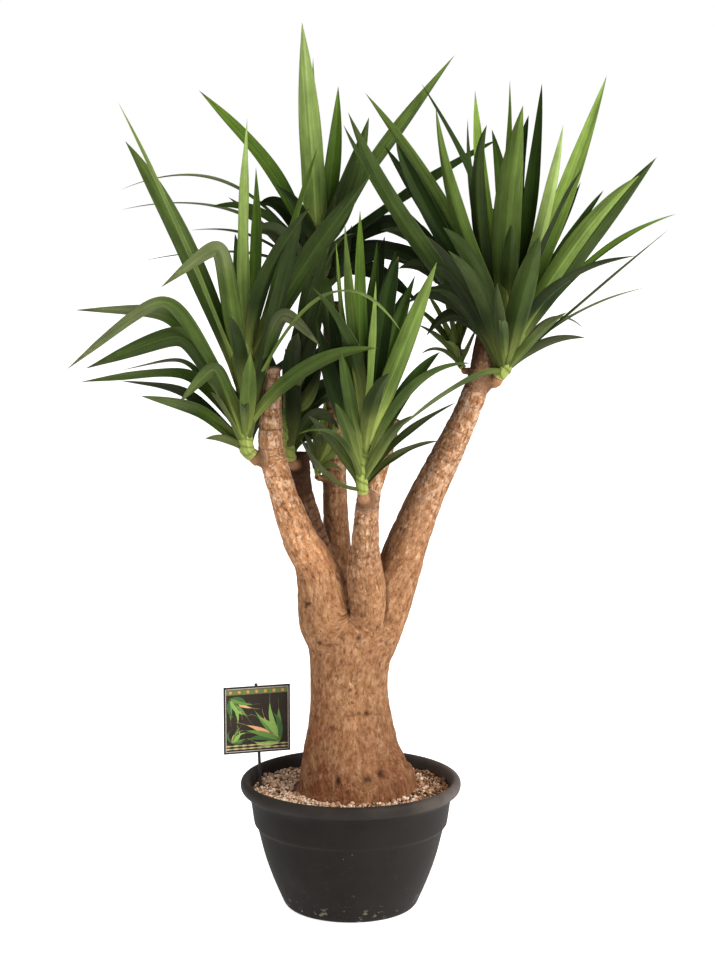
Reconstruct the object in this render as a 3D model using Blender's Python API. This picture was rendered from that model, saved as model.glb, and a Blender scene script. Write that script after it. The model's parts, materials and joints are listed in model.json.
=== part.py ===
"""A potted yucca: black pot, potting mix, trunk with five canes, seven leafy heads and a plant label.

Metres, +Z up, the front towards -Y, the origin in the middle of the pot's underside. Tables are in
centimetres. Their x and z are as seen from the front at the plant's middle, and each point moves along
the line of sight to its own depth, so that a changed depth leaves the outline as it is.
"""

import math
import random

import bmesh
import bpy
import numpy as np
from mathutils import Vector
from mathutils.bvhtree import BVHTree

CM = 0.01
GAP = 0.0003  # left between two pieces that touch
EYE = Vector((0.011, -3.5, 1.208))  # where the plant is looked at from

# Pot: a rolled rim over a plain band, a step, and a wall that tapers to a rounded foot.
POT_SIDES = 36
POT_OUTSIDE = ((10.0, 0.0), (10.75, 0.35), (11.2, 1.2), (12.6, 4.4), (14.0, 8.3),
               (15.15, 13.3), (15.75, 13.9), (16.3, 18.0), (16.8, 18.95))  # (radius, height), cm
RIM_MIDDLE = (17.2, 20.15)  # cm
RIM_SIZE = (0.8, 1.05)  # half its width and half its height, cm
RIM_TURNS = (-75, 180)  # degrees round the rim's middle, from under its outer edge to its inner edge
RIM_STEPS = 5
POT_INSIDE = ((16.3, 19.7), (15.8, 17.6), (15.3, 14.1), (14.7, 13.1), (13.6, 8.3), (12.2, 4.4),
              (10.7, 1.2), (10.2, 0.5))  # (radius, height), cm
DRAIN_HOLES = 6
DRAIN_RADIUS = 0.6  # cm
DRAIN_RING = 7.6  # cm

DRAIN_CUT = 1.0  # cm below and above the underside, more than the floor is thick

SOIL_TOP = 19.3  # cm

# Trunk: (x, z, depth, radius) along each limb, cm.
FOOT_RADIUS = 9.9  # cm
FOOT_BOTTOM = 12.0  # cm
TRUNK = ((0.8, FOOT_BOTTOM, 0.0, FOOT_RADIUS), (0.8, SOIL_TOP + 0.2, 0.0, FOOT_RADIUS),
         (0.45, 22.3, 0.0, 8.9), (0.1, 25.4, 0.0, 8.05), (-0.1, 31.2, 0.0, 6.75), (-0.3, 37.7, 0.0, 6.25),
         (-0.2, 41.3, 0.0, 6.6), (0.1, 44.2, 0.2, 7.2), (0.2, 46.6, 0.5, 7.2), (0.3, 49.0, 1.0, 5.8),
         (0.3, 51.2, 1.6, 3.6))
CANES = {
    "left": ((-2.0, 41.0, -1.0, 2.8), (-3.5, 45.6, -1.8, 4.3), (-4.2, 49.6, -2.6, 4.3),
             (-5.0, 53.7, -3.5, 3.75), (-6.1, 57.0, -3.8, 3.2), (-8.0, 60.3, -4.0, 2.8),
             (-10.4, 66.8, -4.0, 2.3), (-12.6, 74.8, -4.0, 2.05), (-12.5, 88.1, -4.0, 1.45)),
    "second_left": ((-2.8, 50.0, 2.5, 2.4), (-5.0, 58.6, 4.5, 2.0), (-6.5, 63.5, 5.0, 1.85),
                    (-7.8, 68.4, 5.0, 1.75), (-8.2, 74.4, 5.0, 1.6)),
    "back": ((-0.8, 48.0, 4.0, 2.8), (-1.7, 54.6, 6.5, 2.3),
             (-2.5, 68.0, 9.0, 2.0), (-2.6, 82.8, 9.0, 1.85), (-2.8, 98.4, 9.0, 1.6)),
    "front": ((2.2, 42.0, -2.2, 2.6), (2.8, 48.0, -3.9, 2.95), (2.6, 51.6, -4.7, 3.1),
              (2.2, 55.2, -5.7, 2.95), (2.4, 60.3, -7.2, 2.15), (2.8, 66.8, -8.0, 1.85),
              (4.1, 71.6, -8.0, 1.75), (6.6, 80.0, -8.0, 1.45)),
    "right": ((2.6, 40.0, 0.0, 2.6), (4.6, 47.0, -0.8, 4.2), (8.1, 57.0, -0.6, 3.5),
              (11.9, 66.8, 0.0, 2.85), (14.9, 73.2, 0.0, 2.5), (17.9, 79.6, 0.0, 2.2),
              (20.4, 86.0, 0.0, 2.0), (21.6, 94.0, 0.0, 1.6)),
}
TRUNK_SIDES = POT_SIDES // 2  # so that its foot stands in the soil's hole corner to corner
CANE_SIDES = 12
PATH_STEPS = 2  # rings for each row of a cane's or a stem's table
BUD_SWELL = 1.1  # width of a bud against the stem that it carries

# Label: a square card turned a little to its left, on a stake that leans.
CARD_SIZE = 11.1  # cm
CARD_THICK = 0.1  # cm
CARD_MIDDLE = (-15.2, 30.8, 1.0)  # x, z and depth, cm
CARD_TURN = math.radians(16)
STAKE_SIZE = (0.45, 0.22)  # wide and thick, cm
STAKE_FOOT = (0.75, -16.0)  # from the card's middle, sideways and up, cm
STAKE_TIP = (-0.1, 5.9)

# Leaves. Widths follow the length unless the leaf is seen wider than that.
LEAF_WIDTH = (1.0, 0.05)  # cm at no length, and more for each cm of length
LEAF_THICK = 0.2  # cm at the root
LEAF_THINS = 0.6  # share of its thickness that a leaf loses towards its tip
LEAF_TAPER = 2.2  # how late a leaf runs out to its point
LEAF_BASE = 0.45  # width where the leaf leaves its stem, as a share of its greatest width
LEAF_WIDEST = 0.42  # share of the length
LEAF_CHANNEL = 0.13  # depth of the fold along the middle, as a share of the width
EDGE_ON = math.radians(78)  # the most that a leaf turns its edge to the front
CLEARANCE = 0.003  # metres kept free round a blade when its place is looked for
TRIED_SHARES = np.linspace(0.0, 0.97, 18)  # where the curve of a blade is tried besides its own bends
STRAIGHT = 0.06  # a leaf that bows less than this share of its length takes fewer bends
STRAIGHT_BENDS = (0.0, 0.3, 0.7)
CURVED_BENDS = (0.0, 0.22, 0.48, 0.76)
ROOT_OUT = 0.4  # share of the stem's radius at which a leaf's root lies
FREE_FROM = 0.35  # leaves of one head may cross nearer their roots than this share
DEPTH_STEP = 1.5  # cm, each try moves the tip by one more step to either side
TURN_STEP = math.radians(6)
FILLING_TURN = 35  # degrees, the most that a filling leaf turns away from straight forwards or back
FILLING_LIFT = (5, 60, 8)  # degrees, of the lowest, more up to the highest, and the most by chance
FILLING_WIDER = 0.01  # metres, the most by chance
FILLING_BOW = math.radians(16)  # how much steeper a filling leaf starts than it ends
DEPTH_TRIES = 16
TURN_TRIES = 6
STEM_SIDES = 10
SEED = 7

# Each head: its bud's root in the cane, its stem, its leaves from the lowest up as
# (middle x, middle z, tip x, tip z, tip depth, width seen) in cm, the leaves that are seen behind those
# in the same way, and how many more fill it as (count, shortest, longest) in metres.
HEADS = {
    "head_left": {
        "bud": (-12.9, 74.2, -4.0, 1.3),
        "stem": ((-15.5, 73.9, -4.2, 1.0), (-16.5, 74.9, -4.4, 1.15), (-16.8, 78.0, -4.5, 1.2),
                 (-16.6, 83.0, -4.5, 1.3), (-16.4, 90.0, -4.5, 0.8)),
        "leaves": (
            (-20.0, 76.6, -23.2, 76.6, -7, 1.3), (-23.9, 81.0, -33.4, 83.5, 2, 1.7),
            (-26.3, 84.0, -36.6, 85.9, 8, 1.3), (-20.4, 82.0, -22.2, 84.1, -9, 0.9),
            (-21.5, 87.6, -27.4, 82.2, -11, 2.6), (-16.2, 84.6, -15.9, 90.5, -13, 2.6),
            (-26.0, 86.9, -42.9, 85.7, 5, 1.2), (-26.2, 88.9, -36.6, 87.5, 12, 0.9),
            (-7.0, 88.0, 4.3, 91.1, -17, 2.4), (-26.6, 92.8, -42.1, 87.8, -6, 2.6),
            (-29.0, 98.3, -45.1, 87.6, -12, 1.5), (-28.5, 96.0, -43.7, 97.1, 3, 1.8),
            (-11.0, 96.0, -4.8, 91.4, -14, 2.6), (-4.0, 99.6, 8.1, 93.6, -9, 0.9),
            (-20.6, 106.4, -30.0, 100.6, -12, 3.0), (-26.3, 107.8, -35.2, 123.5, -5, 3.3),
            (-27.4, 111.0, -36.2, 129.5, -7, 1.0), (-15.0, 104.0, -14.8, 119.5, 4, 2.2),
            (-10.6, 106.0, -5.1, 122.6, 0, 1.1), (-7.4, 104.0, 3.5, 118.7, -3, 3.7),
            (-16.9, 107.0, -16.1, 127.0, -9, 1.8),
        ),
        "behind": (
            (-10.3, 103.4, -7.9, 112.0, 8, 2.4), (-11.9, 98.7, -9.2, 107.3, 6, 2.4),
        ),
        "more": (6, 0.2, 0.34),
    },
    "head_front": {
        "bud": (2.7, 66.6, -8.0, 1.3),
        "stem": ((2.0, 67.9, -10.8, 0.85), (1.8, 70.0, -11.4, 0.95), (2.1, 75.0, -11.4, 1.0),
                 (2.4, 80.5, -11.2, 0.7)),
        "leaves": (
            (-3.4, 70.6, -8.1, 76.7, -15, 0.9), (7.6, 74.2, 14.2, 76.3, -6, 1.0),
            (-2.6, 76.0, -6.8, 80.4, -12, 1.7), (8.0, 76.9, 16.9, 82.5, -8, 1.0),
            (6.2, 77.2, 9.9, 80.4, -18, 1.7), (-0.4, 77.6, -2.5, 82.4, -17, 2.0),
            (9.4, 84.6, 19.2, 88.7, -13, 1.6), (8.2, 83.6, 14.2, 90.5, -9, 2.3),
            (-0.2, 83.4, -1.7, 90.8, -19, 2.0), (-2.6, 85.0, -5.4, 95.5, -8, 2.8),
            (-1.2, 87.0, -3.4, 99.0, -4, 2.6), (-0.6, 91.0, -2.3, 108.1, -8, 1.1),
            (3.2, 88.5, 4.0, 101.8, -17, 1.0), (8.0, 90.4, 13.6, 104.7, -16, 3.0),
            (6.0, 90.5, 10.2, 102.6, -6, 2.4), (5.4, 91.0, 8.9, 100.4, 2, 2.7),
            (4.6, 94.0, 7.2, 106.6, 0, 2.7), (3.2, 92.6, 4.2, 108.1, -5, 2.2),
            (0.3, 94.2, -0.9, 110.9, -12, 1.8), (1.6, 95.8, 1.5, 112.8, -9, 2.2),
        ),
        "behind": (
            (5.1, 94.0, 7.6, 105.6, 4, 2.8), (6.2, 90.8, 9.5, 98.7, 3, 2.6),
            (3.4, 95.9, 5.4, 108.7, 6, 2.8),
        ),
        "more": (6, 0.18, 0.3),
    },
    "head_right": {
        "bud": (20.6, 85.8, -0.2, 1.4),
        "stem": ((23.4, 86.6, -1.4, 1.0), (24.5, 88.2, -2.0, 1.15), (24.8, 91.6, -2.2, 1.15),
                 (24.9, 97.0, -2.0, 0.8)),
        "leaves": (
            (30.4, 91.8, 37.2, 92.7, -4, 1.5), (17.4, 85.6, 7.9, 78.4, -15, 1.1),
            (31.0, 95.4, 36.8, 94.2, 3, 0.9), (30.0, 93.8, 34.2, 96.8, -10, 1.7),
            (34.8, 96.2, 46.7, 100.7, 8, 0.8), (29.9, 96.6, 34.7, 102.0, 11, 1.0),
            (37.4, 99.2, 49.9, 109.7, 4, 0.8), (23.6, 95.2, 23.1, 101.4, -15, 1.9),
            (20.0, 100.4, 15.3, 106.5, -18, 2.4), (17.6, 96.2, 12.0, 93.0, 10, 2.4),
            (16.2, 98.8, 9.0, 98.2, 6, 2.7), (27.2, 100.0, 29.8, 108.9, -17, 3.7),
            (15.4, 102.0, 7.5, 103.6, 1, 3.0), (20.2, 102.6, 14.5, 110.1, -14, 3.0),
            (14.0, 105.4, 4.6, 109.6, 5, 2.8), (38.0, 105.0, 51.2, 112.2, 9, 1.4),
            (37.0, 107.4, 47.9, 121.0, -5, 3.0), (35.4, 107.8, 45.3, 118.2, -8, 2.7),
            (33.0, 106.0, 39.7, 115.9, 8, 1.6), (31.4, 106.6, 36.1, 117.2, 12, 1.4),
            (30.6, 108.6, 36.4, 119.5, -13, 1.0), (10.2, 108.6, -0.4, 128.0, -7, 2.7),
            (9.0, 110.0, -1.1, 126.0, 1, 1.5), (14.2, 109.6, 5.2, 122.9, 5, 2.4),
            (32.8, 113.0, 39.9, 133.6, 0, 3.0), (29.8, 109.4, 33.2, 126.0, -8, 2.4),
            (28.0, 113.0, 29.8, 132.4, 5, 2.1), (24.6, 111.6, 26.9, 129.0, -9, 4.5),
            (14.8, 113.4, 2.3, 130.9, -3, 1.9), (21.0, 113.6, 11.0, 132.4, 6, 1.7),
            (17.4, 111.0, 13.3, 128.7, -4, 2.4), (20.0, 110.0, 18.3, 127.0, 8, 1.4),
            (21.2, 113.0, 19.4, 131.3, -2, 2.4), (24.8, 114.0, 24.8, 132.9, 10, 1.4),
        ),
        "behind": (
            (17.9, 98.2, 12.4, 100.1, 4, 2.6), (17.4, 100.9, 13.0, 103.7, 7, 2.4),
            (20.2, 112.5, 21.3, 126.0, 10, 2.4), (25.8, 114.0, 27.8, 127.5, 12, 2.6),
            (12.8, 111.9, 7.1, 123.5, 6, 2.8), (15.0, 110.3, 11.0, 119.8, 9, 2.8),
            (11.9, 108.0, 5.6, 115.6, 10, 2.6),
        ),
        "more": (7, 0.2, 0.34),
    },
    "head_right_small": {
        "bud": (20.6, 87.2, 0.6, 0.8),
        "stem": ((17.9, 87.9, 2.4, 0.5), (17.3, 88.7, 2.7, 0.55), (16.9, 90.0, 2.8, 0.5),
                 (16.7, 91.6, 2.8, 0.35)),
        "leaves": (
            (14.4, 90.9, 11.2, 90.2, 1, 0.7), (18.6, 91.4, 19.8, 94.0, 1, 0.8),
            (14.2, 92.6, 10.6, 94.8, 0, 0.9), (16.2, 91.6, 16.1, 94.4, -1, 1.0),
            (13.9, 94.4, 10.2, 97.6, 3, 0.9), (14.6, 95.6, 11.8, 100.2, 4, 0.9),
            (17.2, 94.8, 18.3, 99.6, 6, 1.0), (15.8, 96.4, 14.2, 102.0, 4, 1.0),
        ),
        "more": (3, 0.06, 0.1),
    },
    "head_back_top": {
        "bud": (-2.9, 96.6, 9.0, 1.4),
        "stem": ((-4.5, 99.1, 9.0, 1.0), (-5.0, 100.6, 9.0, 1.15), (-5.2, 104.0, 9.0, 1.2),
                 (-5.2, 110.0, 9.0, 0.8)),
        "leaves": (
            (-2.4, 95.2, 0.2, 90.2, 6, 2.8), (-15.0, 106.0, -33.0, 104.8, 24, 0.7),
            (-14.0, 108.2, -25.3, 109.6, 20, 0.9), (-13.0, 109.6, -19.2, 114.8, 18, 0.9),
            (-11.0, 109.0, -15.5, 108.6, 5, 2.8), (-4.2, 99.6, -2.4, 88.3, -5, 3.0),
            (-6.6, 99.0, -8.6, 89.6, -4, 2.8), (-18.0, 112.6, -36.1, 112.8, 22, 0.7),
            (-12.6, 111.6, -22.0, 113.3, 14, 1.4), (4.0, 106.5, 12.0, 106.0, 12, 2.6),
            (-19.0, 117.0, -36.1, 115.9, 18, 0.8), (-10.0, 112.6, -14.6, 113.4, 12, 2.6),
            (3.5, 103.4, 10.5, 98.5, 11, 2.7), (5.0, 110.6, 13.0, 108.6, 16, 2.8),
            (6.4, 106.4, 14.5, 100.5, 15, 3.0), (12.0, 117.4, 23.0, 123.7, 16, 1.7),
            (-12.8, 119.8, -23.6, 131.3, 11, 2.2), (-1.0, 114.4, 2.9, 127.2, 3, 3.7),
            (4.4, 121.4, 16.2, 136.7, 7, 2.2), (-2.9, 118.6, -1.9, 132.0, 12, 2.7),
            (-5.7, 120.8, -5.8, 136.4, 9, 1.4), (-6.2, 124.0, -7.5, 141.7, 5, 3.7),
        ),
        "behind": (
            (5.6, 106.5, 13.6, 101.1, 10, 2.6), (-4.3, 105.8, -2.3, 115.1, 4, 3.0),
            (-6.2, 104.7, -7.9, 113.6, 5, 2.8), (-2.4, 103.7, 0.2, 110.5, 6, 2.8),
        ),
        "more": (5, 0.16, 0.22),
    },
    "head_back_low": {
        "bud": (-2.5, 70.0, 9.0, 0.9),
        "stem": ((-5.2, 70.9, 7.4, 0.5), (-5.3, 71.9, 7.0, 0.55), (-4.9, 73.2, 6.6, 0.5),
                 (-4.5, 74.8, 6.4, 0.35)),
        "leaves": (
            (-3.2, 72.4, -1.2, 71.4, 4, 1.1), (-6.2, 75.2, -7.4, 77.6, 5, 1.2),
            (-2.8, 74.4, -0.6, 76.4, 4, 1.3), (-5.4, 76.8, -6.2, 81.0, 6, 1.4),
            (-3.8, 75.8, -2.6, 79.2, 3, 1.9), (-3.2, 76.4, -1.8, 80.0, 5, 1.4),
            (-4.4, 78.0, -4.0, 83.0, 6, 1.5),
        ),
        "more": (3, 0.06, 0.11),
    },
    "head_second_left": {
        "bud": (-8.4, 72.4, 5.0, 1.2),
        "stem": ((-9.4, 73.3, 2.6, 0.8), (-9.8, 75.0, 2.1, 0.95), (-9.9, 80.0, 2.2, 1.0),
                 (-9.6, 87.0, 2.6, 0.7)),
        "leaves": (
            (-6.9, 77.4, -1.5, 76.0, 5, 2.2), (-5.6, 80.4, -1.8, 78.0, 3, 2.2),
            (-5.4, 83.0, -0.2, 82.0, 5, 2.6), (-12.6, 84.4, -15.4, 84.0, 12, 2.4),
            (-4.8, 84.6, 0.4, 84.8, 10, 2.6), (-5.6, 88.8, -0.6, 92.0, 8, 2.8),
            (-15.4, 92.4, -22.0, 94.4, 12, 2.2), (-6.6, 92.0, -4.4, 100.0, 3, 2.8),
            (-7.2, 95.6, -3.4, 107.0, 3, 2.8), (-8.9, 97.0, -7.6, 108.6, 1, 2.6),
        ),
        "behind": (
            (-9.1, 83.6, -10.4, 91.1, -2, 2.6), (-7.2, 82.8, -4.5, 88.6, -1, 2.4),
        ),
        "more": (5, 0.18, 0.3),
    },
}

COLOURS = {
    "pot": (0.022, 0.021, 0.02),
    "soil": (0.12, 0.075, 0.05),
    "bark": (0.36, 0.21, 0.12),
    "leaf": (0.06, 0.14, 0.03),
    "card": (0.03, 0.026, 0.022),
    "stake": (0.01, 0.01, 0.01),
}


def clear_scene():
    for obj in list(bpy.data.objects):
        bpy.data.objects.remove(obj, do_unlink=True)


def material(name, rough):
    found = bpy.data.materials.get(name) or bpy.data.materials.new(name)
    found.use_nodes = True
    shader = found.node_tree.nodes["Principled BSDF"]
    shader.inputs["Base Color"].default_value = (*COLOURS[name], 1.0)
    shader.inputs["Roughness"].default_value = rough
    return found


def paint(obj, name, rough):
    obj.data.materials.clear()
    obj.data.materials.append(material(name, rough))
    for polygon in obj.data.polygons:
        polygon.material_index = 0


def seen(x, z, depth):
    """The point that shows at (x, z) of the plant's middle when it is this far behind it, all in cm."""
    flat = Vector((x, 0.0, z)) * CM
    return EYE + (flat - EYE) * (1.0 - depth * CM / EYE.y)


def mesh_object(name, points, faces, collection=None):
    mesh = bpy.data.meshes.new(name)
    mesh.from_pydata([tuple(point) for point in points], [], faces)
    mesh.update()
    obj = bpy.data.objects.new(name, mesh)
    (collection or bpy.context.scene.collection).objects.link(obj)
    return obj


def smooth_shaded(obj, angle=40):
    obj.data.shade_smooth()
    obj.data.set_sharp_from_angle(angle=math.radians(angle))


def ring_faces(rings, sides):
    """Quads between neighbouring rings, and a cap on each end."""
    faces = []
    for ring in range(rings - 1):
        for side in range(sides):
            after = (side + 1) % sides
            low, high = ring * sides, (ring + 1) * sides
            faces.append((low + side, low + after, high + after, high + side))
    faces.append(tuple(range(sides - 1, -1, -1)))
    faces.append(tuple((rings - 1) * sides + side for side in range(sides)))
    return faces


def turned(name, profile, collection=None):
    """A solid of revolution from (radius, height) pairs in cm, which start and end on the axis."""
    points = [(0.0, 0.0, profile[0][1] * CM)]
    for radius, height in profile[1:-1]:
        for side in range(POT_SIDES):
            turn = 2 * math.pi * side / POT_SIDES
            points.append((radius * CM * math.cos(turn), radius * CM * math.sin(turn), height * CM))
    points.append((0.0, 0.0, profile[-1][1] * CM))
    rings = len(profile) - 2
    faces = []
    for side in range(POT_SIDES):
        after = (side + 1) % POT_SIDES
        faces.append((0, 1 + after, 1 + side))
        for ring in range(rings - 1):
            low, high = 1 + ring * POT_SIDES, 1 + (ring + 1) * POT_SIDES
            faces.append((low + side, low + after, high + after, high + side))
        last = 1 + (rings - 1) * POT_SIDES
        faces.append((last + side, last + after, len(points) - 1))
    return mesh_object(name, points, faces, collection)


def helper_collection(name):
    made = bpy.data.collections.new(name)
    bpy.context.scene.collection.children.link(made)
    return made


def boolean(obj, collection, operation, solver="MANIFOLD"):
    """Joins or cuts obj with every object of the collection at once, then removes them."""
    modifier = obj.modifiers.new("boolean", "BOOLEAN")
    modifier.operation = operation
    modifier.operand_type = "COLLECTION"
    modifier.collection = collection
    modifier.solver = solver
    bpy.context.view_layer.objects.active = obj
    bpy.ops.object.modifier_apply(modifier=modifier.name)
    for other in list(collection.objects):
        bpy.data.objects.remove(other, do_unlink=True)
    bpy.data.collections.remove(collection)


def fill_pockets(obj):
    """Removes the closed pockets that crossing blades leave in a joined mesh: all but its largest shell."""
    mesh = bmesh.new()
    mesh.from_mesh(obj.data)
    left, shells = set(mesh.verts), []
    while left:
        shell, edge = set(), [left.pop()]
        while edge:
            vertex = edge.pop()
            shell.add(vertex)
            near = {link.other_vert(vertex) for link in vertex.link_edges} & left
            left -= near
            edge += near
        shells.append(shell)
    shells.sort(key=len)
    bmesh.ops.delete(mesh, geom=[vertex for shell in shells[:-1] for vertex in shell], context="VERTS")
    mesh.to_mesh(obj.data)
    mesh.free()


def rounded_path(points, steps):
    """A smooth curve through (x, y, z, radius) rows, with this many steps between neighbours."""
    rows = np.array(points, float)
    rows = np.vstack([2 * rows[0] - rows[1], rows, 2 * rows[-1] - rows[-2]])
    share = np.arange(steps)[:, None] / steps
    curve = []
    for a, b, c, d in zip(rows, rows[1:], rows[2:], rows[3:]):
        curve.append(0.5 * (2 * b + (c - a) * share + (2 * a - 5 * b + 4 * c - d) * share**2
                            + (3 * b - a - 3 * c + d) * share**3))
    return np.vstack([*curve, rows[-2]])


def tube_rings(path, sides):
    """Circles square to the path, each turned as little as possible from the one before."""
    ahead = np.gradient(path[:, :3], axis=0)
    ahead /= np.linalg.norm(ahead, axis=1)[:, None]
    across = np.cross(ahead[0], (0.0, 1.0, 0.0))
    turns = 2 * math.pi * np.arange(sides) / sides
    rings = []
    for row, forward in zip(path, ahead):
        across = across - forward * across.dot(forward)
        across /= np.linalg.norm(across)
        up = np.cross(forward, across)
        rings.append(row[:3] + row[3] * (np.cos(turns)[:, None] * across + np.sin(turns)[:, None] * up))
    return np.array(rings)


def tube(name, path, sides, collection=None):
    rings = tube_rings(path, sides)
    return mesh_object(name, rings.reshape(-1, 3), ring_faces(len(rings), sides), collection)


def limb_path(rows):
    """Rows of (x, z, depth, radius) in cm as a smooth path in metres."""
    return rounded_path([(*seen(x, z, depth), radius * CM) for x, z, depth, radius in rows], PATH_STEPS)


def make_pot():
    middle, size = RIM_MIDDLE, RIM_SIZE
    turns = np.radians(np.linspace(*RIM_TURNS, RIM_STEPS + 1))
    rim = [(middle[0] + size[0] * math.cos(turn), middle[1] + size[1] * math.sin(turn)) for turn in turns]
    profile = [(0.0, 0.0), *POT_OUTSIDE, *rim, *POT_INSIDE, (0.0, POT_INSIDE[-1][1])]
    pot = turned("pot", profile)
    cutters = helper_collection("drains")
    for hole in range(DRAIN_HOLES):
        turn = 2 * math.pi * (hole + 0.5) / DRAIN_HOLES
        place = np.array((DRAIN_RING * math.cos(turn), DRAIN_RING * math.sin(turn), 0.0)) * CM
        ends = [(*(place + (0, 0, height * CM)), DRAIN_RADIUS * CM) for height in (-DRAIN_CUT, DRAIN_CUT)]
        tube("drain", np.array(ends), STEM_SIDES, cutters)
    boolean(pot, cutters, "DIFFERENCE", "EXACT")
    smooth_shaded(pot)
    paint(pot, "pot", 0.6)
    return pot


def label_point(side, up, back):
    """A point of the label in its own turned frame, cm from the card's middle."""
    x, z, depth = CARD_MIDDLE
    return seen(x, z, depth) + Vector((
        side * math.cos(CARD_TURN) - back * math.sin(CARD_TURN),
        side * math.sin(CARD_TURN) + back * math.cos(CARD_TURN), up)) * CM


def label_bar(name, low, high, wide, near, far, collection=None):
    """A flat bar in the label's frame from low to high as (side, up), between two distances behind it."""
    points = []
    for side, up in (low, high):
        for across, back in ((-wide, near), (wide, near), (wide, far), (-wide, far)):
            points.append(label_point(side + across, up, back))
    return mesh_object(name, points, ring_faces(2, 4), collection)


def stake(name, grow, collection=None):
    near = CARD_THICK / 2 + GAP / CM
    return label_bar(name, (STAKE_FOOT[0], STAKE_FOOT[1] - grow), STAKE_TIP, STAKE_SIZE[0] / 2 + grow,
                     near - grow, near + STAKE_SIZE[1] + grow, collection)


def make_label():
    half = CARD_SIZE / 2
    card = label_bar("label_card", (0.0, -half), (0.0, half), half, -CARD_THICK / 2, CARD_THICK / 2)
    paint(card, "card", 0.5)
    post = stake("label_stake", 0.0)
    paint(post, "stake", 0.5)
    return [card, post]


def make_soil():
    gap = GAP / CM
    inside = [(radius - gap, height) for radius, height in reversed(POT_INSIDE) if height < SOIL_TOP]
    above = next(row for row in reversed(POT_INSIDE) if row[1] > SOIL_TOP)
    below = inside[-1]
    share = (SOIL_TOP - below[1]) / (above[1] - below[1])
    edge = below[0] + (above[0] - gap - below[0]) * share
    bottom = inside[0][1] + gap
    hole = FOOT_RADIUS + gap
    profile = [(0.0, bottom), (inside[0][0], bottom), *inside[1:], (edge, SOIL_TOP), (hole, SOIL_TOP),
               (hole, FOOT_BOTTOM - gap), (0.0, FOOT_BOTTOM - gap)]
    soil = turned("soil", profile)
    middle = seen(*TRUNK[0][:3])
    for vertex in soil.data.vertices:
        if abs(math.hypot(vertex.co.x, vertex.co.y) - hole * CM) < GAP / 2:
            vertex.co.x += middle.x
    cutters = helper_collection("stake_hole")
    stake("stake_hole", gap, cutters)
    boolean(soil, cutters, "DIFFERENCE", "EXACT")
    smooth_shaded(soil)
    paint(soil, "soil", 0.95)
    return soil


def make_trunk(stems):
    """The foot, the waist and the canes joined, with a bud under each stem."""
    rows = [(*seen(x, z, depth), radius * CM) for x, z, depth, radius in TRUNK]
    foot = rows[0][0]
    rows[:2] = [(foot, 0.0, *row[2:]) for row in rows[:2]]
    turns = 2 * math.pi * np.arange(TRUNK_SIDES) / TRUNK_SIDES
    circle = np.stack([np.cos(turns), np.sin(turns), np.zeros(TRUNK_SIDES)], axis=1)
    rings = np.array([np.array(row[:3]) + row[3] * circle for row in rows])
    trunk = mesh_object("trunk", rings.reshape(-1, 3), ring_faces(len(rings), TRUNK_SIDES))
    limbs = helper_collection("limbs")
    for name, cane in CANES.items():
        tube(name, limb_path(cane), CANE_SIDES, limbs)
    for name, head in HEADS.items():
        x, z, depth, radius = head["bud"]
        start = np.array(stems[name][0])
        forward = stems[name][1][:3] - start[:3]
        forward /= np.linalg.norm(forward)
        end = start[:3] - forward * GAP
        neck = end - forward * start[3]
        path = [(*seen(x, z, depth), radius * CM), (*neck, start[3] * BUD_SWELL), (*end, start[3])]
        tube("bud", np.array(path), STEM_SIDES, limbs)
    boolean(trunk, limbs, "UNION")
    smooth_shaded(trunk, 60)
    paint(trunk, "bark", 0.9)
    return trunk


def leaf_width(share):
    """Width along a leaf as a share of its greatest: it swells from the base, then runs out to a point."""
    rise = np.clip(share / LEAF_WIDEST, 0, 1)
    fall = np.clip((share - LEAF_WIDEST) / (1 - LEAF_WIDEST), 0, 1)
    return (LEAF_BASE + (1 - LEAF_BASE) * np.sin(rise * math.pi / 2)) * (1 - fall**LEAF_TAPER)


def blade_rings(leaf, shares, grow=0.0):
    """Cross-sections of a leaf as (left edge, upper middle, right edge, lower middle), and its tip.

    The middle line is the one curve of second degree through the leaf's root, middle and tip. The
    upper face looks up and inwards, turned towards or away from the front by leaf["turn"].
    """
    root, middle, tip = (np.array(leaf[end]) for end in ("root", "middle", "tip"))
    bend = 2 * middle - (root + tip) / 2
    t = np.array(shares)[:, None]
    place = (1 - t) ** 2 * root + 2 * t * (1 - t) * bend + t**2 * tip
    ahead = 2 * (1 - t) * (bend - root) + 2 * t * (tip - bend)
    ahead /= np.linalg.norm(ahead, axis=1)[:, None]
    face = np.array(leaf["face"]) - ahead * (ahead @ np.array(leaf["face"]))[:, None]
    face /= np.linalg.norm(face, axis=1)[:, None]
    side = np.cross(ahead, face)
    half = leaf["width"] / 2 * leaf_width(t) + grow
    fold = place - face * LEAF_CHANNEL * 2 * half
    thick = LEAF_THICK * CM / 2 * (1 - LEAF_THINS * t) + grow
    corners = [place - side * half, fold + face * thick, place + side * half, fold - face * thick]
    return np.stack(corners, axis=1), tip + (tip - root) / np.linalg.norm(tip - root) * grow


def blade_mesh(rings, tip):
    """Triangles split alike on the upper and the lower face, so that a twisted blade never meets itself."""
    count = len(rings)
    points = [*rings.reshape(-1, 3), tip]
    faces = []
    for ring in range(count - 1):
        low, high = 4 * ring, 4 * ring + 4
        for edge, keel in ((0, 1), (2, 1), (2, 3), (0, 3)):
            one = (low + edge, low + keel, high + keel)
            two = (low + edge, high + keel, high + edge)
            forward = (edge, keel) in ((0, 1), (2, 3))
            faces += [one, two] if forward else [one[::-1], two[::-1]]
    last = 4 * (count - 1)
    faces += [(last, last + 1, len(points) - 1), (last + 1, last + 2, len(points) - 1)]
    faces += [(last + 2, last + 3, len(points) - 1), (last + 3, last, len(points) - 1)]
    faces += [(2, 1, 0), (3, 2, 0)]
    return points, faces


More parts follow.
